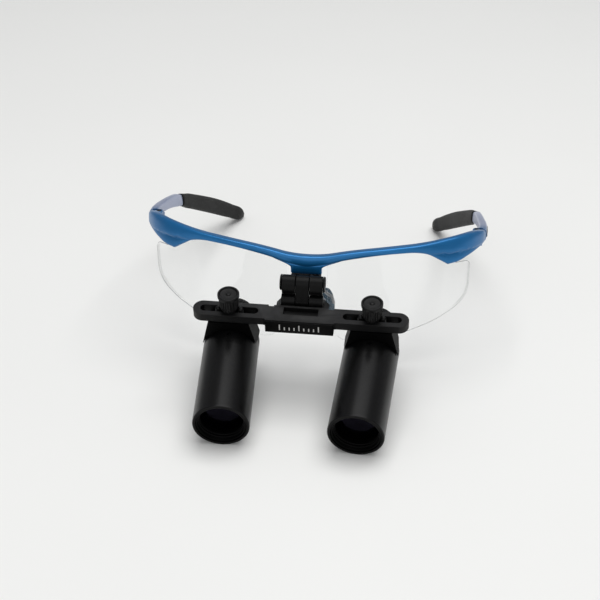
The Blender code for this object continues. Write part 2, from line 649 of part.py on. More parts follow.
# ------------------------------------------------------------------ crossbar
BAR_HALF = 44.4
BLOCK_HALF = 14.0            # thicker middle of the bar
BLOCK_FRONT = -4.9
APRON_REAR, APRON_LOW = -2.4, -4.55
APRON_TOP = BAR_TOP - 0.4
PLATE_FRONT = -5.75
SLOT_IN, SLOT_OUT, SLOT_R = 17.4, 41.4, 1.75
REAR_STEP_X, REAR_STEP_Y = (11.3, 13.5), (3.4, 6)
TOP_POCKET = (-7.15, 7.15, -0.95, 3.15, -0.9, 4)         # x, y, z ranges
BAR_SCREW_X, BAR_SCREW_Z = 8.25, -0.4
BAR_SCREW_R, BAR_SCREW_FRONT = 0.5, 1.7
BAR_SCREW = [(0, BAR_SCREW_FRONT), (BAR_SCREW_R, BAR_SCREW_FRONT), (BAR_SCREW_R, 10.3),
             (1.0, 10.3), (1.0, 11.0), (0, 11.0)]


def build_crossbar():
    right = [(BLOCK_HALF, BLOCK_FRONT), (BLOCK_HALF + 0.2, -ARM_DEPTH - 0.2),
             (BLOCK_HALF + 1.0, -ARM_DEPTH)]
    right += arc(BAR_HALF - ARM_DEPTH, 0, ARM_DEPTH, -90, 90, 12)
    outline = right + at_side(-1, reversed(right))
    crossbar = solid("crossbar", bar_along(outline, BAR_LOW, BAR_TOP), bar_axes, BLACK)
    apron = box(-BLOCK_HALF, BLOCK_HALF, BLOCK_FRONT, APRON_REAR, APRON_LOW, APRON_TOP)
    join(crossbar, "tool_apron", apron, bar_axes)
    middle = (SLOT_IN + SLOT_OUT) / 2
    reach = (SLOT_OUT - SLOT_IN) / 2 - SLOT_R
    for side, tag in SIDES:
        slot = arc(side * middle + reach, 0, SLOT_R, -90, 90, 8)
        slot += arc(side * middle - reach, 0, SLOT_R, 90, 270, 8)
        cut(crossbar, f"tool_slot_{tag}", bar_along(slot, -4, 4), bar_axes)
    for side, _ in SIDES:    # the rear edge steps in between the carriage and the arms
        step = box(side * REAR_STEP_X[0], side * REAR_STEP_X[1], *REAR_STEP_Y, -3, 3)
        cut(crossbar, f"tool_rear_step_{side + 1}", step, bar_axes)
    cut(crossbar, "tool_pocket_top", box(*TOP_POCKET), bar_axes)
    return crossbar


def build_scale_plate():
    plate = box(-BLOCK_HALF, BLOCK_HALF, PLATE_FRONT, BLOCK_FRONT - GAP, APRON_LOW, BAR_TOP)
    solid("scale_plate", plate, bar_axes, PLATE, smooth=0)


def build_carriage_screws(crossbar, carriage):
    hole = rod(BAR_SCREW_R + GAP, BAR_SCREW_FRONT - GAP, 12, 10, "Y")
    for side, tag in SIDES:
        place = (side * BAR_SCREW_X, 0, BAR_SCREW_Z)
        cut(crossbar, f"tool_bar_screw_{tag}", hole, bar_axes, at=place)
        cut(carriage, f"tool_carriage_screw_{tag}", hole, bar_axes, at=place)
        solid(f"carriage_screw_{tag}", turned(BAR_SCREW, 10, "Y"), bar_axes, STEEL,
              at=place, smooth=40)


# ------------------------------------------------ telescope mount on the bar
# cradle that hugs the telescope under the bar: half widths, bottom z, half depth
SADDLE_TOP, SADDLE_WIDE = 8.5, 11.35
SADDLE_LOW, SADDLE_HALF = -14.6, 4.6
PIN_OFFSET = 4.68            # guide pins either side of the clamp screw
PIN_R, PIN_LOW = 1.15, -4.5
GUIDE_PIN = [(0, PIN_LOW), (PIN_R, PIN_LOW), (PIN_R, 1.9), (0.95, 2.35), (0.5, 2.65), (0, 2.7)]
CLAMP_R, CLAMP_LOW, CLAMP_TOP = 1.3, -5.2, 6.7
KNOB_BORE_R, KNOB_BORE_TOP, KNOB_LOW = CLAMP_R + GAP, CLAMP_TOP + GAP, BAR_TOP + GAP
KNOB = [
    (0, KNOB_BORE_TOP), (KNOB_BORE_R, KNOB_BORE_TOP), (KNOB_BORE_R, KNOB_LOW), (3.3, KNOB_LOW),
    (3.3, 3.0), (3.9, 3.2), (4.2, 8.6), (4.5, 8.8), (4.5, 10.0), (4.25, 10.3),
    (3.8, 10.3), (3.45, 9.6), (1.0, 9.6), (0.7, 10.0), (0, 10.1),
]
KNOB_FLUTED = (5, 6)         # profile points of the grip


def build_saddle(tag, slide, optic):
    top = BAR_LOW - GAP
    cradle = [(-SADDLE_TOP, top), (SADDLE_TOP, top), (SADDLE_WIDE, SADDLE_LOW),
              (-SADDLE_WIDE, SADDLE_LOW)]
    saddle = solid(f"scope_saddle_{tag}", bar_along(cradle, -SADDLE_HALF, SADDLE_HALF, "Y"),
                   slide, BLACK, smooth=0)
    cut(saddle, f"tool_saddle_round_{tag}", rod(TUBE_R + GAP, -9, 9, 48, "Y"), optic)
    cut(saddle, f"tool_saddle_thread_{tag}", rod(CLAMP_R + GAP, -12, 0, 14, "Z"), slide)
    for end in (-1, 1):
        cut(saddle, f"tool_saddle_pin_{tag}_{end + 1}", rod(PIN_R + GAP, PIN_LOW - GAP, 0, 12, "Z"),
            slide, at=(end * PIN_OFFSET, 0, 0))


def build_guide_pins(side, tag, slide):
    for end in (-1, 1):
        place = "inner" if end * side < 0 else "outer"
        solid(f"guide_pin_{tag}_{place}", turned(GUIDE_PIN, 12, "Z"), slide, BLACK,
              at=(end * PIN_OFFSET, 0, 0), smooth=50)


def build_clamp(tag, slide):
    turn = empty(f"knob_axis_{tag}", slide, ORIGIN)
    screw = rod(CLAMP_R, CLAMP_LOW, CLAMP_TOP, 14, "Z")
    solid(f"clamp_screw_{tag}", screw, turn, STEEL, smooth=40)
    knob = turned(KNOB, 24, "Z", fluted=KNOB_FLUTED)
    solid(f"clamp_knob_{tag}", knob, turn, BLACK, smooth=30)


# ---------------------------------------------------------------- telescopes
# profiles: (radius, y), front is -Y
TUBE_FRONT = -46.5
HOUSING_FRONT, HOUSING_REAR = -1.0, 16.6
TUBE_REAR = HOUSING_FRONT - GAP
EYE_FRONT, EYE_END = HOUSING_REAR + GAP, 19.6
BARREL = [
    (11.1, TUBE_FRONT), (11.4, -46.35), (TUBE_R, -46.0), (TUBE_R, TUBE_REAR), (10.9, TUBE_REAR),
    (10.9, -2.2), (9.7, -2.2), (9.7, -43.3), (10.2, -43.3), (10.2, TUBE_FRONT),
]
# threaded ring that holds the objective, stepped inside
LENS_RING = [
    (9.5, -45.9), (9.9, -45.9), (9.9, -43.6), (9.4, -43.6), (9.4, -42.3),
    (7.8, -42.3), (7.8, -43.3), (8.6, -43.4), (8.6, -44.4), (9.3, -44.5),
]
OBJECTIVE = [(0, -41.9), (3.0, -41.75), (6.0, -41.3), (9.2, -40.4), (9.2, -38.6),
             (6.0, -38.1), (0, -37.7)]
HOUSING = [
    (TUBE_R, HOUSING_FRONT), (TUBE_R, 1.6), (11.2, 2.2), (8.1, HOUSING_REAR), (6.2, HOUSING_REAR),
    (6.2, 14.2), (6.9, 13.4), (10.3, 0.6), (10.3, HOUSING_FRONT),
]
EYE_RING = [(8.0, EYE_FRONT), (7.35, 19.3), (7.0, EYE_END), (5.2, EYE_END), (4.8, 18.9),
            (4.8, 18.5), (5.8, 18.5), (5.8, EYE_FRONT)]
OCULAR = [(0, 18.2), (2.5, 18.05), (5.4, 17.4), (5.4, 15.6), (0, 15.3)]
# name, profile, segments, is a ring, material, smoothing angle
TURNED_OPTICS = (
    ("lens_ring", LENS_RING, 32, True, BLACK, 30),
    ("objective_lens", OBJECTIVE, 20, False, GLASS, 50),
    ("rear_housing", HOUSING, 28, True, BLACK, 30),
    ("eyepiece_ring", EYE_RING, 24, True, MATT, 35),
    ("ocular_lens", OCULAR, 16, False, GLASS, 50),
)
PRISM = [(-5.1, -5.1), (5.1, -5.1), (5.1, 2.4), (2.4, 5.1), (-2.4, 5.1), (-5.1, 2.4)]   # (x, z)
PRISM_FRONT, PRISM_REAR = 1.0, 9.6
# grub screw that locks the barrel, on top just ahead of the housing: (radius, z)
GRUB_Y, GRUB_R = -6.8, 0.65
GRUB = [(0, 9.9), (GRUB_R, 9.9), (GRUB_R, 11.15), (0.45, 11.15), (0.35, 10.6), (0, 10.6)]


def build_barrel(tag, optic):
    barrel = solid(f"barrel_{tag}", turned(BARREL, 32, loop=True), optic, BLACK, smooth=30)
    place = (0, GRUB_Y, 0)
    cut(barrel, f"tool_grub_hole_{tag}", rod(GRUB_R + GAP, 8.5, 13, 12, "Z"), optic, at=place)
    solid(f"grub_screw_{tag}", turned(GRUB, 12, "Z"), optic, STEEL, at=place, smooth=40)


def build_optics(tag, optic):
    for name, profile, count, loop, mat, smooth in TURNED_OPTICS:
        solid(f"{name}_{tag}", turned(profile, count, loop=loop), optic, mat, smooth=smooth)
    prism = bar_along(PRISM, PRISM_FRONT, PRISM_REAR, "Y")
    solid(f"erecting_prism_{tag}", prism, optic, GLASS, smooth=0)


def build_telescope(side, tag):
    slide = empty(f"slide_axis_{tag}", bar_axes, (side * SCOPE_X, 0, 0))
    optic = empty(f"optic_axis_{tag}", slide, (0, 0, -SCOPE_DROP), (0, 0, -side * TOE_IN))
    build_saddle(tag, slide, optic)
    build_guide_pins(side, tag, slide)
    build_clamp(tag, slide)
    build_barrel(tag, optic)
    build_optics(tag, optic)


# ------------------------------------------------------------------ assembly
def build_loupes():
    brow = build_brow()
    build_lenses()
    build_nose_pads()
    for side, tag in SIDES:
        build_temple(side, tag)
    build_bracket(brow)
    build_link()
    build_pivot_pins()
    carriage = build_carriage()
    crossbar = build_crossbar()
    build_scale_plate()
    build_carriage_screws(crossbar, carriage)
    for side, tag in SIDES:
        build_telescope(side, tag)


build_loupes()
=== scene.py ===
"""Looks of flip-up binocular loupes: two telescopes on a crossbar, hinged to a spectacle frame.

Lengths are millimetres. In the frame's axes x runs across with the left parts at -x, y runs
back along the temples and z is up. The crossbar and each telescope have axes of their own,
also with the front at -y, and all are placed from the record's joints and mounts.
"""
import json
import math

import bmesh
import bpy
from mathutils import Matrix, Vector


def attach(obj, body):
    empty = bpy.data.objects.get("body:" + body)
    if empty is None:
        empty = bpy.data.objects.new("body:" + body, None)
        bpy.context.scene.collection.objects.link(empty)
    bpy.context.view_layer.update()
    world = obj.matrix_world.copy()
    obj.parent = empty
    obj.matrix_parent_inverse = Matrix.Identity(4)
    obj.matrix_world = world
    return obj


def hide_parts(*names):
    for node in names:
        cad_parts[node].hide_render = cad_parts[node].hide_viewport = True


MM = 0.001
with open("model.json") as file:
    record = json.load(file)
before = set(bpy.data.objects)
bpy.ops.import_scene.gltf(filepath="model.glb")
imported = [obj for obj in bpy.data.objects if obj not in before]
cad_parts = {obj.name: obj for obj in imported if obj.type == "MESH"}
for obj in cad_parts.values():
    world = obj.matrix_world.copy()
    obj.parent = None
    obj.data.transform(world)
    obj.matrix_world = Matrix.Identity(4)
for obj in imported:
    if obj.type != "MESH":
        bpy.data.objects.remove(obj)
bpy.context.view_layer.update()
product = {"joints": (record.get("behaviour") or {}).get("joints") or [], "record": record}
JOINTS = {j["name"]: j for j in product["joints"]}
MOUNTS = {m["name"]: m for m in product["record"]["mounts"]}
SIDES = ((-1, "left"), (1, "right"))

# --------------------------------------------------------------- shared dimensions (mm)
CLEARANCE = 0.3                       # around pins, tubes and parts that move

# temple fold hinge
HINGE_X, HINGE_Y, HINGE_R = 70.4, 38.9, 2.2
EAR_LOW, EAR_TOP = 0.2, 6.2
TONGUE_LOW, TONGUE_TOP = 1.8, 3.9
GAP_LOW, GAP_TOP = TONGUE_LOW - CLEARANCE, TONGUE_TOP + CLEARANCE
PIN_SEAT = 5.6                        # height of the fold pin's head seat
FOLD_BORE_R = 1.2

# bridge hinge: upper and lower pins, half widths along x
UPPER_Y, UPPER_Z = -10.3, -6.4
LOWER_Y, LOWER_Z = -10.0, -14.0
LOWER_EYE_R = 2.6
LINK_HALF, BRACKET_HALF, CARRIAGE_HALF = 2.7, 8.3, 8.6
PIN_R = 1.1
PIN_BORE_R = PIN_R + CLEARANCE
FOOT_SCREW_X, FOOT_SCREW_Y = 3.6, 2.9

# crossbar, measured from its own axes
BAR_TOP, BAR_LOW = 1.45, -2.25
BAR_HALF, ARM_HALF_DEPTH = 44.4, 4.15
BLOCK_HALF, BLOCK_FRONT, APRON_LOW = 14.0, -4.9, -4.55

# telescopes, the drop measured from the crossbar
SCOPE_X, SCOPE_DROP = 29.3, 18.0
TUBE_FRONT, TUBE_R = -46.5, 11.5


# ------------------------------------------------------------------------------ axes
def axes_at(point, z, place):
    """Rigid axes with x nearest world x, in which the world point lies at place (mm)."""
    z = z.normalized()
    x = Vector((1, 0, 0))
    x = (x - z * x.dot(z)).normalized()
    axes = Matrix((x, z.cross(x), z)).transposed().to_4x4()
    axes.translation = point - (axes.to_3x3() @ Vector(place)) * MM
    return axes


def joint_at(name):
    joint = JOINTS[name]
    return Vector(joint["pos_m"]), Vector(joint["axis"]).normalized()


def shifted(axes, x=0.0, y=0.0, z=0.0):
    return axes @ Matrix.Translation(Vector((x, y, z)) * MM)


def telescope_axes(side, tag):
    ahead = Vector(MOUNTS[f"front_rim_{tag}"]["axis"]).normalized()
    up = BAR.to_3x3() @ Vector((0, 0, 1))
    axes = Matrix(((-ahead).cross(up), -ahead, up)).transposed().to_4x4()
    axes.translation = BAR @ (Vector((side * SCOPE_X, 0, -SCOPE_DROP)) * MM)
    return axes


fold_point, fold_axis = joint_at("temple_fold_left")
FRAME = axes_at(fold_point, -fold_axis, (-HINGE_X, HINGE_Y, 0))
clamp_point, clamp_axis = joint_at("clamp_turn_left")
BAR = axes_at(clamp_point, -clamp_axis if clamp_axis.z < 0 else clamp_axis, (-SCOPE_X, 0, 0))
UPPER = shifted(FRAME, 0, UPPER_Y, UPPER_Z)
LOWER = shifted(FRAME, 0, LOWER_Y, LOWER_Z)
lower_in_bar = BAR.inverted() @ LOWER.translation
EYE_Y, EYE_Z = lower_in_bar.y / MM, lower_in_bar.z / MM


# ------------------------------------------------------------------- material helpers
def node(tree, kind, inputs=None, **properties):
    """Adds a shader node; an input given as a socket is linked, any other is set."""
    made = tree.nodes.new(kind)
    for key, value in properties.items():
        setattr(made, key, value)
    for key, value in (inputs or {}).items():
        if isinstance(value, bpy.types.NodeSocket):
            tree.links.new(value, made.inputs[key])
        else:
            made.inputs[key].default_value = value
    return made


def remap(tree, value, low, high, to_low=0.0, to_high=1.0, **properties):
    return node(tree, "ShaderNodeMapRange",
                {"Value": value, "From Min": low, "From Max": high,
                 "To Min": to_low, "To Max": to_high}, **properties).outputs[0]


def mix_colour(tree, factor, first, second):
    return node(tree, "ShaderNodeMix", {0: factor, 6: first, 7: second},
                data_type="RGBA").outputs[2]


def multiply(tree, first, second):
    return node(tree, "ShaderNodeMath", {0: first, 1: second},
                operation="MULTIPLY").outputs[0]


def mix_shader(tree, factor, first, second):
    return node(tree, "ShaderNodeMixShader", {0: factor, 1: first, 2: second}).outputs[0]


def new_material(name):
    material = bpy.data.materials.new(name)
    material.use_nodes = True
    tree = material.node_tree
    tree.nodes.clear()
    return material, tree, node(tree, "ShaderNodeOutputMaterial")


def finish(name, colour, rough, *, tone, tone_scale, grain, grain_scale,
           grain_stretch=(1, 1, 1), rough_var=0.08, metal=0.0, coat=0.0, coat_rough=0.08,
           spec=0.5, sheen=0.0, flakes=None, reflection_fade=None, edge_highlight=None):
    """An opaque finish: slow tone variation, with fine grain in relief and roughness.

    grain is the relief's height in metres. flakes is (amount, scale, colour). fade is a painted
    reflection: a paler tone back along y, as (start mm, end mm, colour). wear is a painted
    highlight: sharp edges lighter in patches, as (amount, colour).
    """
    material, tree, output = new_material(name)
    link = tree.links.new
    principled = node(tree, "ShaderNodeBsdfPrincipled", {
        "Metallic": metal, "Coat Weight": coat, "Coat Roughness": coat_rough,
        "Specular IOR Level": spec, "Sheen Weight": sheen})
    link(principled.outputs[0], output.inputs[0])
    place = node(tree, "ShaderNodeTexCoord").outputs["Object"]
    slow = node(tree, "ShaderNodeTexNoise",
                {"Scale": tone_scale, "Detail": 3.0, "Vector": place})
    patches = remap(tree, slow.outputs["Fac"], low=0.3, high=0.7)
    surface = mix_colour(tree, patches, (*[c * (1 - tone) for c in colour], 1),
                         (*[c * (1 + tone) for c in colour], 1))
    stretched = node(tree, "ShaderNodeMapping", {"Scale": grain_stretch, "Vector": place})
    fine = node(tree, "ShaderNodeTexNoise",
                {"Scale": grain_scale, "Detail": 4.0, "Vector": stretched.outputs[0]})
    roughness = remap(tree, fine.outputs["Fac"], low=0.25, high=0.75,
                      to_low=rough - rough_var, to_high=rough + rough_var)
    link(roughness, principled.inputs["Roughness"])
    if flakes:
        amount, scale, flake_colour = flakes
        cells = node(tree, "ShaderNodeTexVoronoi", {"Scale": scale, "Vector": place})
        share = remap(tree, cells.outputs["Color"], low=0.0, high=1.0, to_high=amount)
        surface = mix_colour(tree, share, surface, (*flake_colour, 1))
    # painted reflection: the colour pales towards a lighter tone back along y
    if reflection_fade:
        start, end, reflected_colour = reflection_fade
        split = node(tree, "ShaderNodeSeparateXYZ", {0: place})
        share = remap(tree, split.outputs["Y"], low=start * MM, high=end * MM,
                      interpolation_type="SMOOTHSTEP")
        surface = mix_colour(tree, share, surface, (*reflected_colour, 1))
    # painted highlight: sharp edges, found by pointiness, turn lighter in patches
    if edge_highlight:
        amount, highlight_colour = edge_highlight
        geometry = node(tree, "ShaderNodeNewGeometry")
        edges = remap(tree, geometry.outputs["Pointiness"], low=0.52, high=0.62,
                      to_high=amount)
        share = multiply(tree, edges, patches)
        surface = mix_colour(tree, share, surface, (*highlight_colour, 1))
    link(surface, principled.inputs["Base Color"])
    bump = node(tree, "ShaderNodeBump",
                {"Strength": 1.0, "Distance": grain, "Height": fine.outputs["Fac"]})
    link(bump.outputs[0], principled.inputs["Normal"])
    return material


def see_through(name, tint, *, shine=1.0, rough=0.02, ior=1.5, body=0.0, body_colour=None,
                reflection=(1, 1, 1)):
    """Straight-through light, a reflection that grows at grazing angles, some body colour."""
    material, tree, output = new_material(name)
    base = node(tree, "ShaderNodeBsdfTransparent", {0: (*tint, 1)}).outputs[0]
    glossy = node(tree, "ShaderNodeBsdfGlossy",
                  {"Color": (*reflection, 1), "Roughness": rough})
    fresnel = node(tree, "ShaderNodeFresnel", {"IOR": ior})
    share = multiply(tree, fresnel.outputs[0], shine)
    if body:
        diffuse = node(tree, "ShaderNodeBsdfDiffuse", {0: (*body_colour, 1)})
        base = mix_shader(tree, body, base, diffuse.outputs[0])
    tree.links.new(mix_shader(tree, share, base, glossy.outputs[0]), output.inputs[0])
    return material


# ------------------------------------------------------------------------- materials
LACQUER = dict(colour=(0.0038, 0.127, 0.338), rough=0.34, metal=0.5, coat_rough=0.16,
               tone=0.10, tone_scale=45, grain=0.000004, grain_scale=5200, rough_var=0.07,
               flakes=(0.10, 7000, (0.08, 0.30, 0.62)))
BLUE = finish("blue_lacquer_look", coat=0.22, spec=0.35, **LACQUER)
# painted reflection: the arms pale to lavender from the hinge back, standing in for studio light
# reflected along them
TEMPLE_BLUE = finish("temple_lacquer_look", coat=0.25, spec=0.4,
                     reflection_fade=(35.0, 50.0, (0.30, 0.345, 0.50)), **LACQUER)
RUBBER = finish("rubber_look", (0.0036, 0.0037, 0.0035), rough=0.62, spec=0.14, tone=0.22,
                tone_scale=70, grain=0.00004, grain_scale=1900, grain_stretch=(1, 0.35, 1),
                rough_var=0.1, sheen=0.06)
TUBE = finish("barrel_look", (0.0012, 0.0012, 0.0013), rough=0.31, spec=0.20, tone=0.10,
              tone_scale=40, grain=0.000006, grain_scale=900, grain_stretch=(0.25, 9, 0.25),
              rough_var=0.05)
# ANODISED and BAR_BLACK paint their sharp edges lighter in patches, a painted highlight
ANODISED = finish("anodised_look", (0.0032, 0.0032, 0.0034), rough=0.42, spec=0.2, tone=0.15,
                  tone_scale=120, grain=0.00001, grain_scale=6000, rough_var=0.06,
                  edge_highlight=(0.5, (0.045, 0.045, 0.045)))
BAR_BLACK = finish("bar_look", (0.0042, 0.0042, 0.0044), rough=0.46, spec=0.19, tone=0.15,
                   tone_scale=140, grain=0.000012, grain_scale=7000, rough_var=0.06,
                   edge_highlight=(0.5, (0.045, 0.045, 0.045)))
MATT = finish("matt_black_look", (0.007, 0.007, 0.0073), rough=0.6, spec=0.3, tone=0.15,
              tone_scale=200, grain=0.00001, grain_scale=5000)
# painted shade: the saddle is black anodised, made darker still to stand in for the crossbar's
# shadow over it
SADDLE_SHADE = finish("saddle_look", (0.0008, 0.0008, 0.0009), rough=0.5, spec=0.05, tone=0.1,
                tone_scale=150, grain=0.00001, grain_scale=6000)
# HINGE paints its sharp edges lighter in patches, a painted highlight
HINGE = finish("hinge_look", (0.0016, 0.0016, 0.0017), rough=0.42, spec=0.12, tone=0.15,
               tone_scale=120, grain=0.00001, grain_scale=6000, rough_var=0.06,
               edge_highlight=(0.4, (0.03, 0.03, 0.03)))
INSIDE = finish("bore_black_look", (0.0008, 0.0008, 0.0008), rough=0.45, spec=0.10, tone=0.1,
                tone_scale=200, grain=0.00001, grain_scale=900, grain_stretch=(0.2, 8, 0.2))
PLATE = finish("plate_look", (0.0012, 0.0012, 0.0013), rough=0.5, spec=0.08, tone=0.1,
               tone_scale=200, grain=0.000008, grain_scale=2500, grain_stretch=(6, 0.5, 0.5))
PAINT = finish("white_fill_look", (0.50, 0.50, 0.48), rough=0.55, tone=0.05, tone_scale=900,
               grain=0.00001, grain_scale=6000)
STEEL = finish("steel_look", (0.42, 0.42, 0.43), rough=0.3, metal=1.0, tone=0.08,
               tone_scale=300, grain=0.000005, grain_scale=3000, grain_stretch=(1, 1, 6))
DARK_STEEL = finish("black_screw_look", (0.012, 0.012, 0.0125), rough=0.35, metal=0.8,
                    tone=0.1, tone_scale=300, grain=0.000005, grain_scale=3000)
CLEAR = see_through("clear_lens_look", (0.994, 0.996, 0.996), shine=0.35, ior=1.45)
# painted shade: grey body colour on the lens edges stands in for the darkening a clear lens
# shows there
CLEAR_EDGE_SHADE = see_through("clear_edge_look", (0.72, 0.73, 0.73), shine=0.5, rough=0.1,
                         ior=1.45, body=0.45, body_colour=(0.22, 0.23, 0.23))
OBJECTIVE = see_through("objective_look", (0.16, 0.155, 0.18), shine=0.3, ior=1.45, body=0.4,
                        body_colour=(0.0008, 0.0008, 0.0014), reflection=(0.42, 0.40, 0.60))
PRISM = see_through("prism_look", (0.6, 0.66, 0.7), body=0.2, body_colour=(0.05, 0.06, 0.07))
OCULAR = see_through("ocular_look", (0.5, 0.55, 0.62), body=0.2,
                     body_colour=(0.01, 0.012, 0.02), reflection=(0.6, 0.75, 0.9))
SILICONE = see_through("silicone_look", (0.40, 0.48, 0.54), shine=0.4, rough=0.22, ior=1.41,
                       body=0.55, body_colour=(0.05, 0.078, 0.105))


# ---------------------------------------------------------------------- object tools
def mesh(name, shape, axes, smooth):
    """Object from a (vertices, faces) shape in mm; smooth is the angle kept soft, 0 for flat."""
    verts, faces = shape
    data = bpy.data.meshes.new(name)
    data.from_pydata([Vector(v) * MM for v in verts], [], faces)
    bm = bmesh.new()
    bm.from_mesh(data)
    bmesh.ops.remove_doubles(bm, verts=bm.verts, dist=1e-7)
    bmesh.ops.dissolve_degenerate(bm, edges=bm.edges, dist=1e-8)
    bmesh.ops.recalc_face_normals(bm, faces=bm.faces)
    bm.to_mesh(data)
    bm.free()
    ob = bpy.data.objects.new(name, data)
    bpy.context.scene.collection.objects.link(ob)
    ob.matrix_world = axes
    if smooth:
        shade(ob, smooth)
    return ob


def part(name, shape, axes, smooth):
    """The look of the CAD node called name."""
    return mesh(f"{name}_look", shape, axes, smooth)


def cutter(shape, axes, smooth=0):
    return mesh("cutter", shape, axes, smooth)


def shade(ob, angle):
    ob.data.shade_smooth()
    ob.data.set_sharp_from_angle(angle=math.radians(angle))


def bake(ob):
    """Replaces the mesh by what its modifiers make of it."""
    depsgraph = bpy.context.evaluated_depsgraph_get()
    depsgraph.update()
    data = bpy.data.meshes.new_from_object(ob.evaluated_get(depsgraph))
    ob.modifiers.clear()
    ob.data = data


def boolean(ob, tool, operation):
    bpy.context.view_layer.update()
    modifier = ob.modifiers.new("b", "BOOLEAN")
    modifier.object = tool
    modifier.operation = operation
    modifier.solver = "EXACT"
    bake(ob)
    bpy.data.objects.remove(tool)


def cut(ob, shape, axes):
    boolean(ob, cutter(shape, axes), "DIFFERENCE")


def join(ob, tool):
    boolean(ob, tool, "UNION")


def drill(ob, axes, radius, low, high, segments, axis="Z"):
    profile = [(0, low), (radius, low), (radius, high), (0, high)]
    cut(ob, turned(profile, segments, axis), axes)


def cut_hexagon(ob, axes, radius, low, high, axis="Z"):
    cut(ob, extrude(circle(0, 0, radius, 6), low, high, axis), axes)


def bevel(ob, width, angle=32.0, segments=3):
    modifier = ob.modifiers.new("bevel", "BEVEL")
    modifier.width = width * MM
    modifier.segments = segments
    modifier.limit_method = "ANGLE"
    modifier.angle_limit = math.radians(angle)
    modifier.use_clamp_overlap = True
    modifier.miter_outer = "MITER_ARC"
    modifier.harden_normals = False
    bake(ob)


def weighted(ob):
    modifier = ob.modifiers.new("normals", "WEIGHTED_NORMAL")
    modifier.keep_sharp = True
    modifier.weight = 50
    return ob


def piece(ob, body, material=None, replaces=True):
    """Gives a finished mesh its body and finish, and hides the CAD part it stands in for; None
    keeps the finishes it has.
    """
    if material:
        ob.data.materials.clear()
        ob.data.materials.append(material)
    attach(ob, body)
    if replaces:
        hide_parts(ob.name.removesuffix("_look"))


# ----------------------------------------------------------------------- shape tools
def clamp(t):
    return max(0.0, min(1.0, t))


def smoothstep(t):
    t = clamp(t)
    return t * t * (3 - 2 * t)


def rounded(points, radius=0.15, steps=3, closed=True):
    """Rounds the corners of an outline; a point's third value is its own radius."""
    out, count = [], len(points)
    for i, p in enumerate(points):
        own = p[2] if len(p) > 2 else radius
        corner = Vector(p[:2])
        if (not closed and i in (0, count - 1)) or own <= 0:
            out.append(tuple(corner))
            continue
        before = Vector(points[i - 1][:2]) - corner
        after = Vector(points[(i + 1) % count][:2]) - corner
        cosine = before.dot(after) / (before.length * after.length)
        angle = math.acos(max(-1.0, min(1.0, cosine)))
        if angle > math.radians(171):
            out.append(tuple(corner))
            continue
        reach = min(own / math.tan(angle / 2), before.length * 0.46, after.length * 0.46)
        start = corner + before / before.length * reach
        end = corner + after / after.length * reach
        for k in range(steps + 1):
            t = k / steps
            out.append(tuple(start * (1 - t) ** 2 + corner * (2 * t * (1 - t)) + end * t * t))
    return out


def bridge(n, a, b):
    """Quads between two rings of n vertices that start at a and b."""
    return [(a + k, a + (k + 1) % n, b + (k + 1) % n, b + k) for k in range(n)]


def loft(rings):
    n, last = len(rings[0]), len(rings) - 1
    verts = [p for ring in rings for p in ring]
    faces = [f for i in range(last) for f in bridge(n, i * n, (i + 1) * n)]
    faces.append(tuple(range(n))[::-1])
    faces.append(tuple(range(last * n, len(verts))))
    return verts, faces


def along(axis, u, v, height):
    """A point at height along the axis and at u, v across it."""
    return {"X": (height, u, v), "Y": (u, height, v), "Z": (u, v, height)}[axis]


def turned(profile, segments, axis="Z", loop=False, shape=None):
    """Turns (radius, height) points round the axis; shape scales the radius at an angle."""
    verts, faces, rows = [], [], []
    for r, height in profile:
        row = []
        for k in range(1 if r < 1e-9 else segments):
            angle = 2 * math.pi * k / segments
            reach = r * (shape(r, height, angle) if shape else 1.0)
            row.append(len(verts))
            verts.append(along(axis, reach * math.cos(angle), reach * math.sin(angle), height))
        rows.append(row)
    for p, q in zip(rows, rows[1:] + rows[:1]) if loop else zip(rows, rows[1:]):
        for k in range(segments):
            j = (k + 1) % segments
            if len(p) == 1:
                faces.append((p[0], q[j], q[k]))
            elif len(q) == 1:
                faces.append((p[k], p[j], q[0]))
            else:
                faces.append((p[k], p[j], q[j], q[k]))
    return verts, faces


def extrude(outline, low, high, axis="Z"):
    return loft([[along(axis, u, v, height) for u, v in outline] for height in (low, high)])


def box(x0, x1, y0, y1, z0, z1):
    x0, x1 = min(x0, x1), max(x0, x1)
    return extrude([(x0, y0), (x1, y0), (x1, y1), (x0, y1)], z0, z1)


def arc(cx, cy, radius, start, end, steps):
    """Points on an arc, angles in degrees."""
    angles = [math.radians(start + (end - start) * i / steps) for i in range(steps + 1)]
    return [(cx + radius * math.cos(a), cy + radius * math.sin(a)) for a in angles]


def circle(cx, cy, radius, n):
    return arc(cx, cy, radius, 0, 360 - 360 / n, n - 1)


def oval(half_width, half_height, exponent, n):
    """Superellipse outline."""
    points = []
    for k in range(n):
        c, s = math.cos(2 * math.pi * k / n), math.sin(2 * math.pi * k / n)
        points.append((math.copysign(abs(c) ** exponent, c) * half_width,
                       math.copysign(abs(s) ** exponent, s) * half_height))
    return points


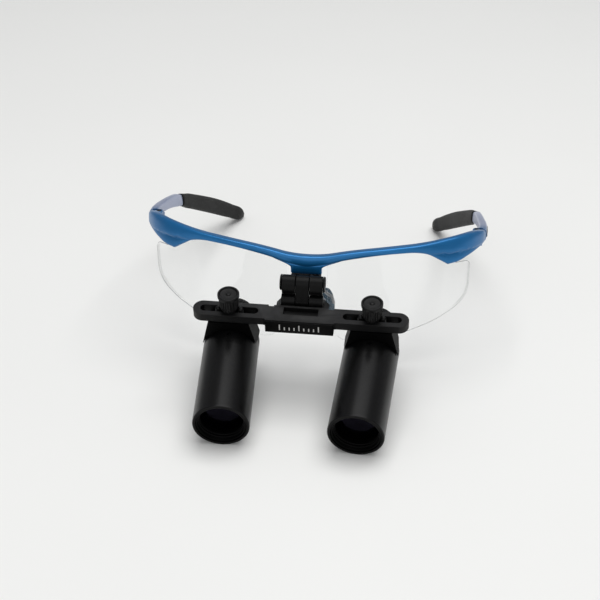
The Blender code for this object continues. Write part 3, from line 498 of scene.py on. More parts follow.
def resample(stations, steps, dims=2, kinks=()):
    """Smooth curve through stations, by distance over their first dims values.

    A kink is a (station, column) where the slope breaks.
    """
    last = len(stations) - 1
    reach = [0.0]
    for a, b in zip(stations, stations[1:]):
        reach.append(reach[-1] + math.dist(a[:dims], b[:dims]))

    def chord(i, c):
        return (stations[i + 1][c] - stations[i][c]) / (reach[i + 1] - reach[i])

    def slope(i, c, side):
        if i == 0:
            return chord(0, c)
        if i == last:
            return chord(last - 1, c)
        if (i, c) in kinks:
            return chord(i - 1 if side < 0 else i, c)
        before, after = reach[i] - reach[i - 1], reach[i + 1] - reach[i]
        return (chord(i - 1, c) * after + chord(i, c) * before) / (before + after)

    out = []
    for i in range(last):
        a, b, h = stations[i], stations[i + 1], reach[i + 1] - reach[i]
        for k in range(steps):
            t = k / steps
            from_a, slope_a = 2 * t ** 3 - 3 * t * t + 1, t ** 3 - 2 * t * t + t
            from_b, slope_b = -2 * t ** 3 + 3 * t * t, t ** 3 - t * t
            out.append(tuple(from_a * a[c] + slope_a * h * slope(i, c, 1)
                             + from_b * b[c] + slope_b * h * slope(i + 1, c, -1)
                             for c in range(len(a))))
    out.append(tuple(stations[-1]))
    return out


def neighbours(points, i):
    return points[max(i - 1, 0)], points[min(i + 1, len(points) - 1)]


def level_normal(dx, dy):
    """Level direction a quarter turn clockwise, seen from above, from (dx, dy)."""
    d = Vector((dx, dy, 0)).normalized()
    return Vector((d.y, -d.x, 0))


def wire(points, radius, n=20, steps=8):
    """Round wire through points, with domed ends."""
    path = [Vector(p) for p in resample(points, steps, 3)]
    sections = []
    top = Vector((0, 0, 1))
    for i, point in enumerate(path):
        a, b = neighbours(path, i)
        ahead = (b - a).normalized()
        across = ahead.cross(top)
        if across.length < 1e-3:
            across = ahead.cross(Vector((1, 0, 0)))
        across.normalize()
        top = across.cross(ahead).normalized()
        sections.append((point, across, top, ahead))

    def hoop(section, shift, size):
        point, across, up, ahead = section
        turns = [2 * math.pi * k / n for k in range(n)]
        return [tuple(point + ahead * shift
                      + (across * math.cos(q) + up * math.sin(q)) * radius * size)
                for q in turns]

    dome = ((0.5, 0.87), (0.87, 0.5))       # share of the dome's reach, share of the radius
    reach = radius * 0.5
    start = [hoop(sections[0], -reach * f, size) for f, size in reversed(dome)]
    end = [hoop(sections[-1], reach * f, size) for f, size in dome]
    return loft(start + [hoop(s, 0, 1) for s in sections] + end)


def on_side(side, points):
    return [(side * p[0],) + tuple(p[1:]) for p in points]


def shaft_part(name, profile, axes, segments, axis="Z", corner=0.1):
    """Solid turned part with lightly rounded corners."""
    outline = rounded(profile, corner, 3, closed=False)
    return part(name, turned(outline, segments, axis), axes, 35)


def ring_part(name, profile, axes, corner=0.1, steps=4, segments=160, smooth=30):
    """Hollow part turned round y from a closed section."""
    outline = rounded(profile, corner, steps)
    return part(name, turned(outline, segments, "Y", loop=True), axes, smooth)


# ------------------------------------------------------------------------------ brow
# Right half of the brow bar: x, y, top z, bottom z, thickness
BROW = (
    (0.0, 2.6, 1.7, -3.1, 5.0), (8.0, 3.0, 2.1, -2.0, 4.9), (15.0, 3.5, 3.4, 0.0, 4.6),
    (22.0, 4.3, 4.5, 1.4, 4.4), (30.0, 5.7, 5.4, 2.6, 4.4), (38.0, 7.6, 6.2, 3.3, 4.4),
    (45.0, 9.6, 6.9, 3.4, 4.4), (50.0, 11.5, 7.5, 2.3, 4.4), (54.0, 13.5, 8.0, -0.1, 4.6),
    (58.0, 15.9, 8.5, -2.8, 4.8), (62.0, 18.8, 8.9, -2.2, 5.0), (65.6, 22.7, 9.0, -0.8, 5.0),
    (68.8, 27.9, 8.6, 0.4, 4.8), (70.9, 32.4, 7.8, 1.2, 4.4), (71.9, 36.2, 6.9, 1.5, 4.2),
)
CORNER = 9                            # station of the end piece's lower corner
GROOVE_DEPTH = 0.16
# Stem under the middle, flaring into the bar: z, half width, front y, rear y
STEM = (
    (-6.3, 6.2, 1.7, 4.5), (-6.1, 6.5, 1.4, 4.7), (-5.2, 6.5, 1.1, 4.8),
    (-4.2, 6.5, 0.7, 4.8), (-3.5, 6.6, 0.6, 4.8), (-3.1, 7.0, 0.6, 4.8),
    (-2.6, 7.8, 0.6, 4.8), (-2.0, 9.2, 0.8, 4.8), (-1.4, 11.0, 1.1, 4.8),
    (-0.7, 13.2, 1.5, 4.9), (0.1, 15.4, 2.0, 4.9), (0.9, 16.4, 2.8, 4.6),
)
EAR_FRONT = 34.0


def brow_underside(x):
    """Height of the bar's lower edge at a positive x."""
    a, b = next(pair for pair in zip(BROW, BROW[1:]) if x <= pair[1][0])
    t = (x - a[0]) / (b[0] - a[0])
    return a[3] + (b[3] - a[3]) * t


def brow_section(thickness, top, bottom, crease, groove, facet):
    """Section of the bar, u to the front, z up: rounded top, creased front, flat back.

    On the end pieces the front steps back at the crease into a lower facet that comes
    forward again to its point.
    """
    half, half_height, middle = thickness / 2, (top - bottom) / 2, (top + bottom) / 2
    points, n = [], 88
    for k in range(n):
        c, s = math.cos(2 * math.pi * k / n), math.sin(2 * math.pi * k / n)
        u = math.copysign(abs(c) ** (0.58 if c > 0 else 0.42), c) * half
        z = middle + math.copysign(abs(s) ** 0.62, s) * half_height
        if c > 0 and groove:
            u -= groove * math.exp(-((z - crease) / 0.5) ** 2)
        if c > 0 and facet:
            below = clamp((crease - z) / max(0.5, crease - bottom))
            above = clamp((z - crease) / max(0.5, top - crease))
            step = smoothstep((crease - 0.2 - z) / 0.7)
            u -= facet * (1.35 * step * (1 - 0.9 * below) + 0.26 * half * above)
        points.append((u, z))
    return points


def brow_bar():
    stations = on_side(-1, BROW[:0:-1]) + list(BROW)
    middle = len(BROW) - 1
    points = resample(stations, 7, kinks=((middle - CORNER, 3), (middle + CORNER, 3)))
    rings = []
    for i, (x, y, top, bottom, thickness) in enumerate(points):
        a, b = neighbours(points, i)
        front = level_normal(b[0] - a[0], b[1] - a[1])
        out = abs(x)
        # the crease carries the bar's lower edge on across the end piece
        crease = 3.6 - 0.6 * clamp((out - 45.0) / 20.0)
        groove = GROOVE_DEPTH * clamp((out - 40.0) / 8.0) * clamp((70.0 - out) / 4.0)
        facet = clamp((out - 47.0) / 8.0) * clamp((71.5 - out) / 6.0)
        section = brow_section(thickness, top, bottom, crease, groove, facet)
        rings.append([tuple(Vector((x, y, z)) + front * u) for u, z in section])
    return part("brow_frame", loft(rings), FRAME, 50)


def add_ear(brow, side):
    """Forked ear for the temple's tongue, with a stepped bore for the fold pin."""
    x = side * HINGE_X
    outline = arc(x, HINGE_Y, HINGE_R, 0, 180, 24)
    outline += [(x - HINGE_R, EAR_FRONT), (x + HINGE_R, EAR_FRONT)]
    ear = cutter(extrude(outline, EAR_LOW, EAR_TOP), FRAME, 30)
    bevel(ear, 0.35, angle=40)
    join(brow, ear)
    room_r = HINGE_R + CLEARANCE
    inner = HINGE_X - room_r - 1.2
    room = arc(HINGE_X, HINGE_Y, room_r, -90, 180, 36)
    room += [(inner, HINGE_Y), (inner, HINGE_Y - room_r)]
    cut(brow, extrude(on_side(side, room), GAP_LOW, GAP_TOP), FRAME)
    seat, head_r = PIN_SEAT - 0.3, 1.75
    bore = [(0, -4), (FOLD_BORE_R, -4), (FOLD_BORE_R, seat), (head_r, seat), (head_r, 9), (0, 9)]
    cut(brow, turned(bore, 40), shifted(FRAME, x, HINGE_Y))


def build_brow():
    brow = brow_bar()
    stem = [[(u, (front + rear) / 2 + v, z)
             for u, v in oval(half_width, (rear - front) / 2, 0.32, 48)]
            for z, half_width, front, rear in STEM]
    join(brow, cutter(loft(stem), FRAME, 60))
    for side, _ in SIDES:
        add_ear(brow, side)
        drill(brow, shifted(FRAME, side * FOOT_SCREW_X, FOOT_SCREW_Y), 1.1, -8, -4.4, 24)
    shade(brow, 42)
    piece(brow, "frame", BLUE)


build_brow()

# ---------------------------------------------------------------------------- lenses
LENS_Y, LENS_THICKNESS, LENS_LEAN = 2.9, 1.0, 15.0       # lean in degrees
WRAP_R, OUTER_WRAP_X, OUTER_WRAP = 140.0, 50.0, 0.012    # tighter wrap beyond OUTER_WRAP_X
LENS_FREE_X, LENS_FREE_Z = 61.0, -2.9    # where the outer corner leaves the brow, its height
LENS_TUCK = 1.3                          # how far the lens reaches up into the brow
# Lower edge, from the nose outwards: x, z
LENS_EDGE = (
    (8.6, -20.0), (9.4, -27.0), (10.7, -33.0), (12.6, -37.4), (15.5, -39.6), (20.0, -40.3),
    (28.0, -39.5), (38.0, -37.0), (47.0, -33.8), (55.0, -30.0), (60.0, -27.0), (64.6, -23.2),
    (66.9, -19.6), (67.9, -15.0),
)


def lens_y(x, z):
    out = abs(x)
    return (LENS_Y + out * out / (2 * WRAP_R)
            + OUTER_WRAP * max(0.0, out - OUTER_WRAP_X) ** 2
            - math.tan(math.radians(LENS_LEAN)) * z)


def build_lens(side, tag):
    rows = 14
    columns = []
    for x, bottom in resample(LENS_EDGE, 5):
        top = brow_underside(x) + LENS_TUCK
        free = smoothstep((x - LENS_FREE_X + 1.6) / 2.4)
        corner = max(0.0, (x - 65.3) / 2.6)
        top += (min(top, LENS_FREE_Z) - top) * free - 2.2 * corner ** 3
        columns.append((x, bottom, top))
    count = len(columns)
    verts, faces = [], []
    for sheet in (-1, 1):
        for x, bottom, top in columns:
            for k in range(rows + 1):
                z = top + (bottom - top) * k / rows
                verts.append((side * x, lens_y(x, z) + sheet * LENS_THICKNESS / 2, z))

    def index(sheet, c, k):
        return (sheet * count + c) * (rows + 1) + k

    for c in range(count - 1):
        for k in range(rows):
            for sheet, (i, j) in enumerate((((0, 1), (1, 0)), ((1, 0), (0, 1)))):
                faces.append((index(sheet, c, k), index(sheet, c + i[0], k + i[1]),
                              index(sheet, c + 1, k + 1), index(sheet, c + j[0], k + j[1])))
    for c in range(count - 1):
        for k in (0, rows):
            faces.append((index(0, c, k), index(0, c + 1, k),
                          index(1, c + 1, k), index(1, c, k)))
    for c in (0, count - 1):
        for k in range(rows):
            faces.append((index(0, c, k), index(1, c, k),
                          index(1, c, k + 1), index(0, c, k + 1)))
    lens = part(f"lens_{tag}", (verts, faces), FRAME, 50)
    for material in (CLEAR, CLEAR_EDGE_SHADE):
        lens.data.materials.append(material)
    # faces that run across the sheet, clear of the nose, get a grey painted shade for the
    # darkening a clear lens shows at its edge
    for face in lens.data.polygons:
        centre = face.center / MM
        depth = abs(centre.y - lens_y(centre.x, centre.z))
        is_edge = depth < LENS_THICKNESS / 2 * 0.5 and abs(centre.x) > 30
        face.material_index = 1 if is_edge else 0
    bevel(lens, 0.2, angle=55, segments=2)
    shade(lens, 50)
    piece(lens, "frame")


for side, tag in SIDES:
    build_lens(side, tag)

# ------------------------------------------------------------------------- nose pads
PAD_CENTRE = (8.7, 15.6, -23.2)
PAD_FACE = Vector((-0.84, 0.54, 0.0)).normalized()
PAD_SPLAY = 14.0                      # degrees
PAD_HALF_WIDTH, PAD_HALF_HEIGHT, PAD_HALF_THICKNESS = 3.3, 6.4, 1.35
PAD_WIRE_R = 0.68
CLIP = ((-5.6, -4.6), (5.6, -4.6), (5.6, -0.9), (4.4, 0.6), (-4.4, 0.6), (-5.6, -0.9))  # x, z
PAD_ARM = ((3.6, 7.3, -1.6), (3.9, 8.3, -1.8), (4.5, 9.2, -6.0), (5.0, 10.2, -11.0),
           (5.9, 11.0, -15.2), (8.2, 11.4, -17.8), (10.2, 12.6, -19.8), (11.0, 14.0, -22.8))


def build_clip():
    clip = part("nose_clip", extrude(rounded(CLIP, 0.5, 4), 5.4, 7.0, "Y"), FRAME, 30)
    bevel(clip, 0.2)
    shade(clip, 40)
    piece(clip, "frame", MATT)


def build_pad_arm(side, tag):
    arm = part(f"pad_arm_{tag}", wire(on_side(side, PAD_ARM), PAD_WIRE_R), FRAME, 60)
    piece(arm, "frame", STEEL)


def build_pad(side, tag):
    """Cushion-shaped pad, slightly wider at one end."""
    splay = math.radians(PAD_SPLAY)
    tall = Vector((-side * math.sin(splay), 0, math.cos(splay)))
    normal = Vector((side * PAD_FACE.x, PAD_FACE.y, 0))
    normal = (normal - tall * normal.dot(tall)).normalized()
    across = tall.cross(normal) * side
    centre = Vector(on_side(side, [PAD_CENTRE])[0])
    rings = []
    for j in range(1, 16):
        q = math.pi * j / 16
        height, size = -PAD_HALF_THICKNESS * math.cos(q), math.sin(q) ** 0.62
        ring = []
        for i in range(48):
            a = 2 * math.pi * i / 48
            w = PAD_HALF_WIDTH * size * math.cos(a) * (1.0 + 0.12 * math.sin(a))
            v = PAD_HALF_HEIGHT * size * math.sin(a)
            ring.append(tuple(centre + across * w + tall * v + normal * height))
        rings.append(ring)
    pad = part(f"nose_pad_{tag}", loft(rings), FRAME, 80)
    piece(pad, f"pad_{tag}", SILICONE)


build_clip()
for side, tag in SIDES:
    build_pad_arm(side, tag)
    build_pad(side, tag)

# --------------------------------------------------------------------------- temples
# Temple arm: y, x, top z, bottom z, thickness
TEMPLE = (
    (38.0, 72.2, 6.5, 1.2, 4.0), (44.0, 72.7, 6.2, 1.0, 3.8), (52.0, 72.7, 5.6, 0.6, 3.6),
    (60.0, 72.1, 4.9, -0.2, 3.4), (70.0, 71.3, 3.8, -1.8, 3.2), (78.0, 70.7, 2.5, -3.6, 3.2),
    (86.6, 70.1, 0.7, -5.9, 3.2),
)
# Rubber sleeve: x, y, z, height, thickness
SLEEVE = (
    (70.1, 87.0, -2.6, 7.2, 4.4), (67.4, 101.0, -7.2, 7.2, 5.0),
    (64.2, 114.0, -11.8, 7.6, 5.4), (60.5, 128.0, -17.0, 7.8, 5.4),
    (54.8, 144.5, -24.0, 7.0, 5.0), (51.3, 153.5, -28.0, 5.6, 4.2),
    (50.3, 156.4, -29.3, 3.0, 2.4),
)
# Tang inside the sleeve, same columns
TANG = (((70.1, 84.0, -2.0, 4.2, 1.6), (70.1, 86.6, -2.6, 4.2, 1.6))
        + tuple((*s[:3], 3.4, 1.5) for s in SLEEVE[1:5]))
JOINT_SLANT = 0.55                    # y lost per unit of height where arm and sleeve meet
SLEEVE_POINTS, SLEEVE_EXPONENT = 40, 0.72
INLAY = (74.25, 41.3, 48.3, 2.2, 5.0)    # inner x, front y, rear y, bottom z, top z
INLAY_OUTER = 74.75


def build_temple_arm(side, tag):
    stations = resample(TEMPLE, 8)
    rings = []
    for i, (y, x, top, bottom, thickness) in enumerate(stations):
        a, b = neighbours(stations, i)
        out = level_normal(b[1] - a[1], b[0] - a[0])
        slant = JOINT_SLANT * max(0.0, (y - 80.0) / 6.6)
        rings.append([(side * (x + out.x * u), y + out.y * u - slant * v,
                       (top + bottom) / 2 + v)
                      for u, v in oval(thickness / 2, (top - bottom) / 2, 0.55, 40)])
    arm = part(f"temple_{tag}", loft(rings), FRAME, 50)

    tongue = arc(HINGE_X, HINGE_Y, HINGE_R, 180, 360, 24)
    tongue += [(HINGE_X + HINGE_R, 45.5), (HINGE_X - HINGE_R * 0.5, 45.5),
               (HINGE_X - HINGE_R, 43.0)]
    # a little taller than the tongue, so that the cuts below trim it
    blank = extrude(on_side(side, tongue), TONGUE_LOW - 0.12, TONGUE_TOP + 0.12)
    join(arm, cutter(blank, FRAME))
    for radius, n, low, high in ((HINGE_R + 0.2, 48, EAR_LOW - 2, TONGUE_LOW),
                                 (HINGE_R + 0.2, 48, TONGUE_TOP, EAR_TOP + 2),
                                 (FOLD_BORE_R, 32, -4, 9)):
        cut(arm, extrude(circle(side * HINGE_X, HINGE_Y, radius, n), low, high), FRAME)
    inner, front, rear, bottom, top = INLAY
    cut(arm, box(side * (inner - CLEARANCE), side * 77, front - CLEARANCE, rear + CLEARANCE,
                 bottom - CLEARANCE, top + CLEARANCE), FRAME)
    tang = [[(side * (x + u), y, z + v)
             for u, v in oval(thickness / 2, height / 2, 0.5, 20)]
            for x, y, z, height, thickness in TANG]
    join(arm, cutter(loft(tang), FRAME))
    shade(arm, 42)
    piece(arm, f"temple_arm_{tag}", TEMPLE_BLUE)


def build_inlay(side, tag):
    """Small block in the pocket on the arm's outer face."""
    inner, *rest = INLAY
    inlay = part(f"temple_inlay_{tag}", box(side * inner, side * INLAY_OUTER, *rest), FRAME, 0)
    bevel(inlay, 0.15)
    shade(inlay, 40)
    piece(inlay, f"temple_arm_{tag}", MATT)


def sleeve_axes(a, b):
    """Directions along the sleeve from station a to b, across it and up it."""
    ahead = (Vector(b[:3]) - Vector(a[:3])).normalized()
    across = ahead.cross(Vector((0, 0, 1))).normalized()
    return ahead, across, across.cross(ahead).normalized()


def sleeve_skin():
    """Rings of the outside skin, from the slanted mouth to the rounded end."""
    stations = resample(SLEEVE, 8, 3)
    rings = []
    for i, (x, y, z, height, thickness) in enumerate(stations):
        _, across, up = sleeve_axes(*neighbours(stations, i))
        slanted = max(0.0, 1 - i / 6.0)
        ring = []
        for u, v in oval(thickness / 2, height / 2, SLEEVE_EXPONENT, SLEEVE_POINTS):
            square = Vector((x, y, z)) + across * u + up * v
            # the mouth reaches forward at its upper outer corner
            lip = (smoothstep((v / (height / 2) - 0.1) / 0.9)
                   * smoothstep((u / (thickness / 2) + 0.3) / 1.2))
            mouth = Vector((x + u, y - JOINT_SLANT * v - 4.2 * lip * (v > 0), z + v))
            ring.append(mouth * slanted + square * (1 - slanted))
        rings.append(ring)
    x, y, z, height, thickness = SLEEVE[-1]
    ahead, across, up = sleeve_axes(*SLEEVE[-2:])
    end = oval(thickness / 2, height / 2, SLEEVE_EXPONENT, SLEEVE_POINTS)
    for size, out in ((0.86, 0.35), (0.6, 0.6), (0.3, 0.72)):
        rings.append([Vector((x, y, z)) + ahead * out * 0.6 + across * u * size + up * v * size
                      for u, v in end])
    return rings


def sleeve_bore():
    """Rings of the blind bore, from its mouth inwards."""
    rings = []
    for j, (x, y, z, _, _) in enumerate(SLEEVE[:5]):
        half_height, slant = 2.05, 0.0
        if j == 0:
            half_height, slant = 2.5, JOINT_SLANT
            y += 2.4
        if j == 4:
            x, y, z = x - 0.45, y + 1.4, z - 0.6
        rings.append([Vector((x + u, y - slant * v, z + v))
                      for u, v in oval(1.1, half_height, 0.5, SLEEVE_POINTS)])
    return rings


def build_sleeve(side, tag):
    skin = sleeve_skin()
    mouth = skin[0]
    centre = sum(mouth, Vector()) / len(mouth)
    # rolled lip from inside outwards: share of the way to the centre, step back along y
    lip = [[Vector((p.x + (centre.x - p.x) * k, p.y + back, p.z + (centre.z - p.z) * k * 0.8))
            for p in mouth]
           for k, back in ((0.26, 1.8), (0.24, 0.25), (0.16, -0.10), (0.06, -0.12))]
    rings = [on_side(side, ring) for ring in sleeve_bore()[::-1] + lip + skin]
    sleeve = part(f"temple_tip_{tag}", loft(rings), FRAME, 55)
    piece(sleeve, f"temple_arm_{tag}", RUBBER)


def build_fold_pin(side, tag):
    """Fold pin with a slotted head on top and a flange below."""
    axes = shifted(FRAME, side * HINGE_X, HINGE_Y)
    profile = [(0, 6.1), (1.3, 6.1), (1.45, 5.95), (1.45, PIN_SEAT), (0.9, PIN_SEAT),
               (0.9, -0.1), (1.6, -0.1), (1.6, -0.7), (0, -0.7)]
    pin = shaft_part(f"temple_pin_{tag}", profile, axes, 48)
    cut(pin, box(-2, 2, -0.2, 0.2, 5.85, 7), axes)
    shade(pin, 35)
    piece(pin, "frame", DARK_STEEL)


for side, tag in SIDES:
    build_temple_arm(side, tag)
    build_inlay(side, tag)
    build_sleeve(side, tag)
    build_fold_pin(side, tag)

# -------------------------------------------------------------------------- the hinge
UPPER_R, UPPER_LOBE = 3.3, 1.4        # bracket's rounding, and how far it is drawn down
FOOT_REAR, FOOT_HALF = 4.8, 6.2


def build_bracket():
    outline = arc(UPPER_Y, UPPER_Z, UPPER_R, 50, 180, 30)
    outline += arc(UPPER_Y, UPPER_Z - UPPER_LOBE, UPPER_R, 180, 300, 28)
    outline += [(-6.9, -9.0), (-6.9, -6.9)]
    bracket = part("bridge_bracket", extrude(outline, -BRACKET_HALF, BRACKET_HALF, "X"),
                   FRAME, 30)
    foot = [(-9.0, -8.9), (FOOT_REAR, -8.6), (FOOT_REAR, -6.9), (FOOT_REAR - 0.8, -6.6),
            (-9.0, -6.6)]
    join(bracket, cutter(extrude(foot, -FOOT_HALF, FOOT_HALF, "X"), FRAME))
    # room for the link
    room_r, room_half = UPPER_R + 0.35, LINK_HALF + CLEARANCE
    room = arc(UPPER_Y, UPPER_Z, room_r, 0, 180, 40)
    room += [(UPPER_Y - room_r, -12.0), (UPPER_Y + room_r, -12.0)]
    cut(bracket, extrude(room, -room_half, room_half, "X"), FRAME)
    bevel(bracket, 0.28, angle=35)
    drill(bracket, UPPER, PIN_BORE_R, -12, 12, 48, "X")
    for side, _ in SIDES:
        drill(bracket, shifted(FRAME, side * FOOT_SCREW_X, FOOT_SCREW_Y), 1.1, -12, -5, 32)
    shade(bracket, 35)
    piece(weighted(bracket), "frame", HINGE)


def build_bracket_screw(side, tag):
    """Foot screw, head down, with a hexagon socket."""
    axes = shifted(FRAME, side * FOOT_SCREW_X, FOOT_SCREW_Y)
    profile = [(0, -4.8), (0.8, -4.8), (0.8, -9.2), (1.7, -9.2), (1.7, -9.8), (1.4, -10.1),
               (0, -10.1)]
    screw = shaft_part(f"bracket_screw_{tag}", profile, axes, 48)
    cut_hexagon(screw, axes, 0.8, -11, -9.4)
    shade(screw, 35)
    piece(screw, "frame", STEEL)


def build_upper_pin():
    head = [(3.0, 9.3), (3.3, 9.0), (3.3, 8.6), (PIN_R, 8.6)]
    profile = ([(0, -9.3)] + [(r, -x) for r, x in head] + head[::-1] + [(0, 9.3)])
    pin = shaft_part("upper_pin", profile, UPPER, 64, "X")
    for low, high in ((-11, -8.8), (8.8, 11)):
        cut_hexagon(pin, UPPER, 0.95, low, high, "X")
    shade(pin, 35)
    piece(weighted(pin), "frame", HINGE)


def build_link():
    dy, dz = LOWER_Y - UPPER_Y, LOWER_Z - UPPER_Z
    outline = arc(0, 0, 3.1, -15, 195, 40) + arc(dy, dz, LOWER_EYE_R, 175, 365, 40)
    link = part("hinge_link", extrude(outline, -LINK_HALF, LINK_HALF, "X"), UPPER, 30)
    bevel(link, 0.22, angle=40)
    for y, z in ((0, 0), (dy, dz)):
        drill(link, shifted(UPPER, 0, y, z), PIN_BORE_R, -6, 6, 48, "X")
    shade(link, 35)
    piece(weighted(link), "link", HINGE)


def build_lower_pin():
    profile = [(0, -8.9), (0.8, -8.9), (PIN_R, -8.6), (PIN_R, 8.6), (0.8, 8.9), (0, 8.9)]
    pin = part("lower_pin", turned(profile, 48, "X"), LOWER, 35)
    piece(pin, "bar", DARK_STEEL)


build_bracket()
for side, tag in SIDES:
    build_bracket_screw(side, tag)
build_upper_pin()
build_link()
build_lower_pin()

# -------------------------------------------------------------- carriage and crossbar
CARRIAGE_FRONT = 4.45
SLOT_IN, SLOT_OUT, SLOT_R = 17.4, 41.4, 1.75
CARRIAGE_SCREW_X, CARRIAGE_SCREW_Z = 8.25, -0.4


def carriage_body():
    outline = [(CARRIAGE_FRONT, BAR_LOW), (CARRIAGE_FRONT, 1.1),
               (EYE_Y - LOWER_EYE_R + 0.1, 1.1)]
    outline += arc(EYE_Y, EYE_Z, LOWER_EYE_R, 180, 0, 40) + [(EYE_Y + LOWER_EYE_R, BAR_LOW)]
    carriage = part("hinge_carriage", extrude(outline, -CARRIAGE_HALF, CARRIAGE_HALF, "X"),
                    BAR, 30)
    wings = [(-11.0, BAR_LOW), (11.0, BAR_LOW), (8.9, 0.5), (-8.9, 0.5)]
    join(carriage, cutter(extrude(wings, CARRIAGE_FRONT, 10.0, "Y"), BAR))
    room_half = LINK_HALF + CLEARANCE
    room = circle(EYE_Y, EYE_Z, LOWER_EYE_R + 0.4, 64)
    cut(carriage, extrude(room, -room_half, room_half, "X"), BAR)
    bevel(carriage, 0.22, angle=40)
    drill(carriage, shifted(BAR, 0, EYE_Y, EYE_Z), PIN_BORE_R, -12, 12, 48, "X")
    return carriage


def crossbar_body():
    right = [(BLOCK_HALF, BLOCK_FRONT), (BLOCK_HALF + 0.2, -ARM_HALF_DEPTH - 0.2),
             (BLOCK_HALF + 1.0, -ARM_HALF_DEPTH)]
    right += arc(BAR_HALF - ARM_HALF_DEPTH, 0, ARM_HALF_DEPTH, -90, 90, 48)
    crossbar = part("crossbar", extrude(right + on_side(-1, right[::-1]), BAR_LOW, BAR_TOP),
                    BAR, 30)
    apron = box(-BLOCK_HALF, BLOCK_HALF, BLOCK_FRONT, -2.4, APRON_LOW, BAR_TOP - 0.4)
    join(crossbar, cutter(apron, BAR))
    half = (SLOT_OUT - SLOT_IN) / 2
    for side, _ in SIDES:
        middle = side * (SLOT_IN + half)
        slot = arc(middle + half - SLOT_R, 0, SLOT_R, -90, 90, 24)
        slot += arc(middle - half + SLOT_R, 0, SLOT_R, 90, 270, 24)
        cut(crossbar, extrude(slot, -4, 4), BAR)
        # notch in the rear edge
        cut(crossbar, box(side * 11.3, side * 13.5, 3.4, 6, -3, 3), BAR)
    # shallow recess in the top
    cut(crossbar, box(-7.15, 7.15, -0.95, 3.15, -0.9, 4), BAR)
    bevel(crossbar, 0.25, angle=40)
    return crossbar


def build_bar():
    """Carriage and crossbar, with the two screws that run through both."""
    carriage = carriage_body()
    crossbar = crossbar_body()
    profile = [(0, 1.7), (0.5, 1.7), (0.5, 10.3), (1.0, 10.3), (1.0, 11.0), (0, 11.0)]
    for side, tag in SIDES:
        axes = shifted(BAR, side * CARRIAGE_SCREW_X, 0, CARRIAGE_SCREW_Z)
        for ob in (crossbar, carriage):
            drill(ob, axes, 0.8, 1.4, 12, 24, "Y")
        screw = shaft_part(f"carriage_screw_{tag}", profile, axes, 32, "Y", corner=0.08)
        cut_hexagon(screw, axes, 0.5, 10.6, 12, "Y")
        shade(screw, 35)
        piece(screw, "bar", STEEL)
    shade(crossbar, 35)
    shade(carriage, 35)
    piece(weighted(crossbar), "bar", BAR_BLACK)
    piece(weighted(carriage), "bar", HINGE)


def build_scale_plate():
    plate = part("scale_plate", box(-BLOCK_HALF, BLOCK_HALF, -5.75, BLOCK_FRONT - 0.3,
                                    APRON_LOW, BAR_TOP), BAR, 0)
    bevel(plate, 0.15)
    shade(plate, 40)
    piece(plate, "bar", PLATE)


def build_scale_marks():
    """Nine strokes on the plate, every fourth one long."""
    pitch, half_width = 2.0, 0.24
    verts, faces = [], []
    for k in range(-4, 5):
        top = 0.1 if k % 4 == 0 else -1.3
        x = k * pitch
        stroke, sides = box(x - half_width, x + half_width, -5.80, -5.70, -2.9, top)
        faces += [tuple(i + len(verts) for i in face) for face in sides]
        verts += stroke
    marks = mesh("scale_plate_marks", (verts, faces), BAR, 0)
    piece(marks, "bar", PAINT, replaces=False)


build_bar()
build_scale_plate()
build_scale_marks()

# ------------------------------------------------------------------------- telescopes
SADDLE_TOP, SADDLE_LOW, SADDLE_HALF = 8.5, 11.35, 4.6    # half widths along x, then along y
GUIDE_PIN_X, GUIDE_PIN_R = 4.68, 1.15
GRUB_Y = -6.8
THREAD_PITCH, THREAD_TURNS = 0.4, 16
FLUTES, FLUTE_DEPTH, FLUTE_LOW, FLUTE_TOP = 24, 0.075, 3.15, 8.65

# Profiles: radius, place along the axis, and a corner radius where a point has its own
KNOB = (
    (0, 7.0), (1.6, 7.0, 0), (1.6, 1.75, 0.1), (3.3, 1.75, 0.2), (3.3, 3.0, 0.1),
    (3.9, 3.2, 0.12), (4.2, 8.6, 0.1), (4.5, 8.8, 0.12), (4.5, 10.0, 0.25), (4.25, 10.3, 0.2),
    (3.8, 10.3, 0.2), (3.45, 9.6, 0.25), (1.0, 9.6, 0.15), (0.7, 10.0, 0.2), (0, 10.1),
)
BARREL = (
    (11.1, TUBE_FRONT, 0.08), (11.4, -46.35, 0.2), (TUBE_R, -46.0, 0.2), (TUBE_R, -1.3, 0.15),
    (10.9, -1.3, 0.05), (10.9, -2.2, 0.05), (9.7, -2.2, 0.05), (9.7, -43.3, 0),
    (10.2, -43.3, 0), (10.2, TUBE_FRONT, 0.12),
)
LENS_RING = (
    (9.5, -45.9), (9.9, -45.9), (9.9, -43.6), (9.4, -43.6), (9.4, -42.3), (8.7, -42.3),
    (8.7, -43.3), (9.0, -43.4), (9.0, -44.4), (9.3, -44.5),
)
HOUSING = (
    (TUBE_R, -1.0, 0.12), (TUBE_R, 1.6, 0.4), (11.2, 2.2, 0.5), (8.1, 16.6, 0.2),
    (6.2, 16.6, 0.15), (6.2, 14.2, 0.1), (6.9, 13.4, 0.1), (10.3, 0.6, 0.1), (10.3, -1.0, 0.1),
)
EYEPIECE_RING = (
    (8.0, 16.9), (7.35, 19.3, 0.3), (7.0, 19.6, 0.3), (5.2, 19.6, 0.3), (4.8, 18.9),
    (4.8, 18.5), (5.8, 18.5), (5.8, 16.9),
)
PRISM_OUTLINE = ((-5.1, -5.1), (5.1, -5.1), (5.1, 2.4), (2.4, 5.1), (-2.4, 5.1), (-5.1, 2.4))


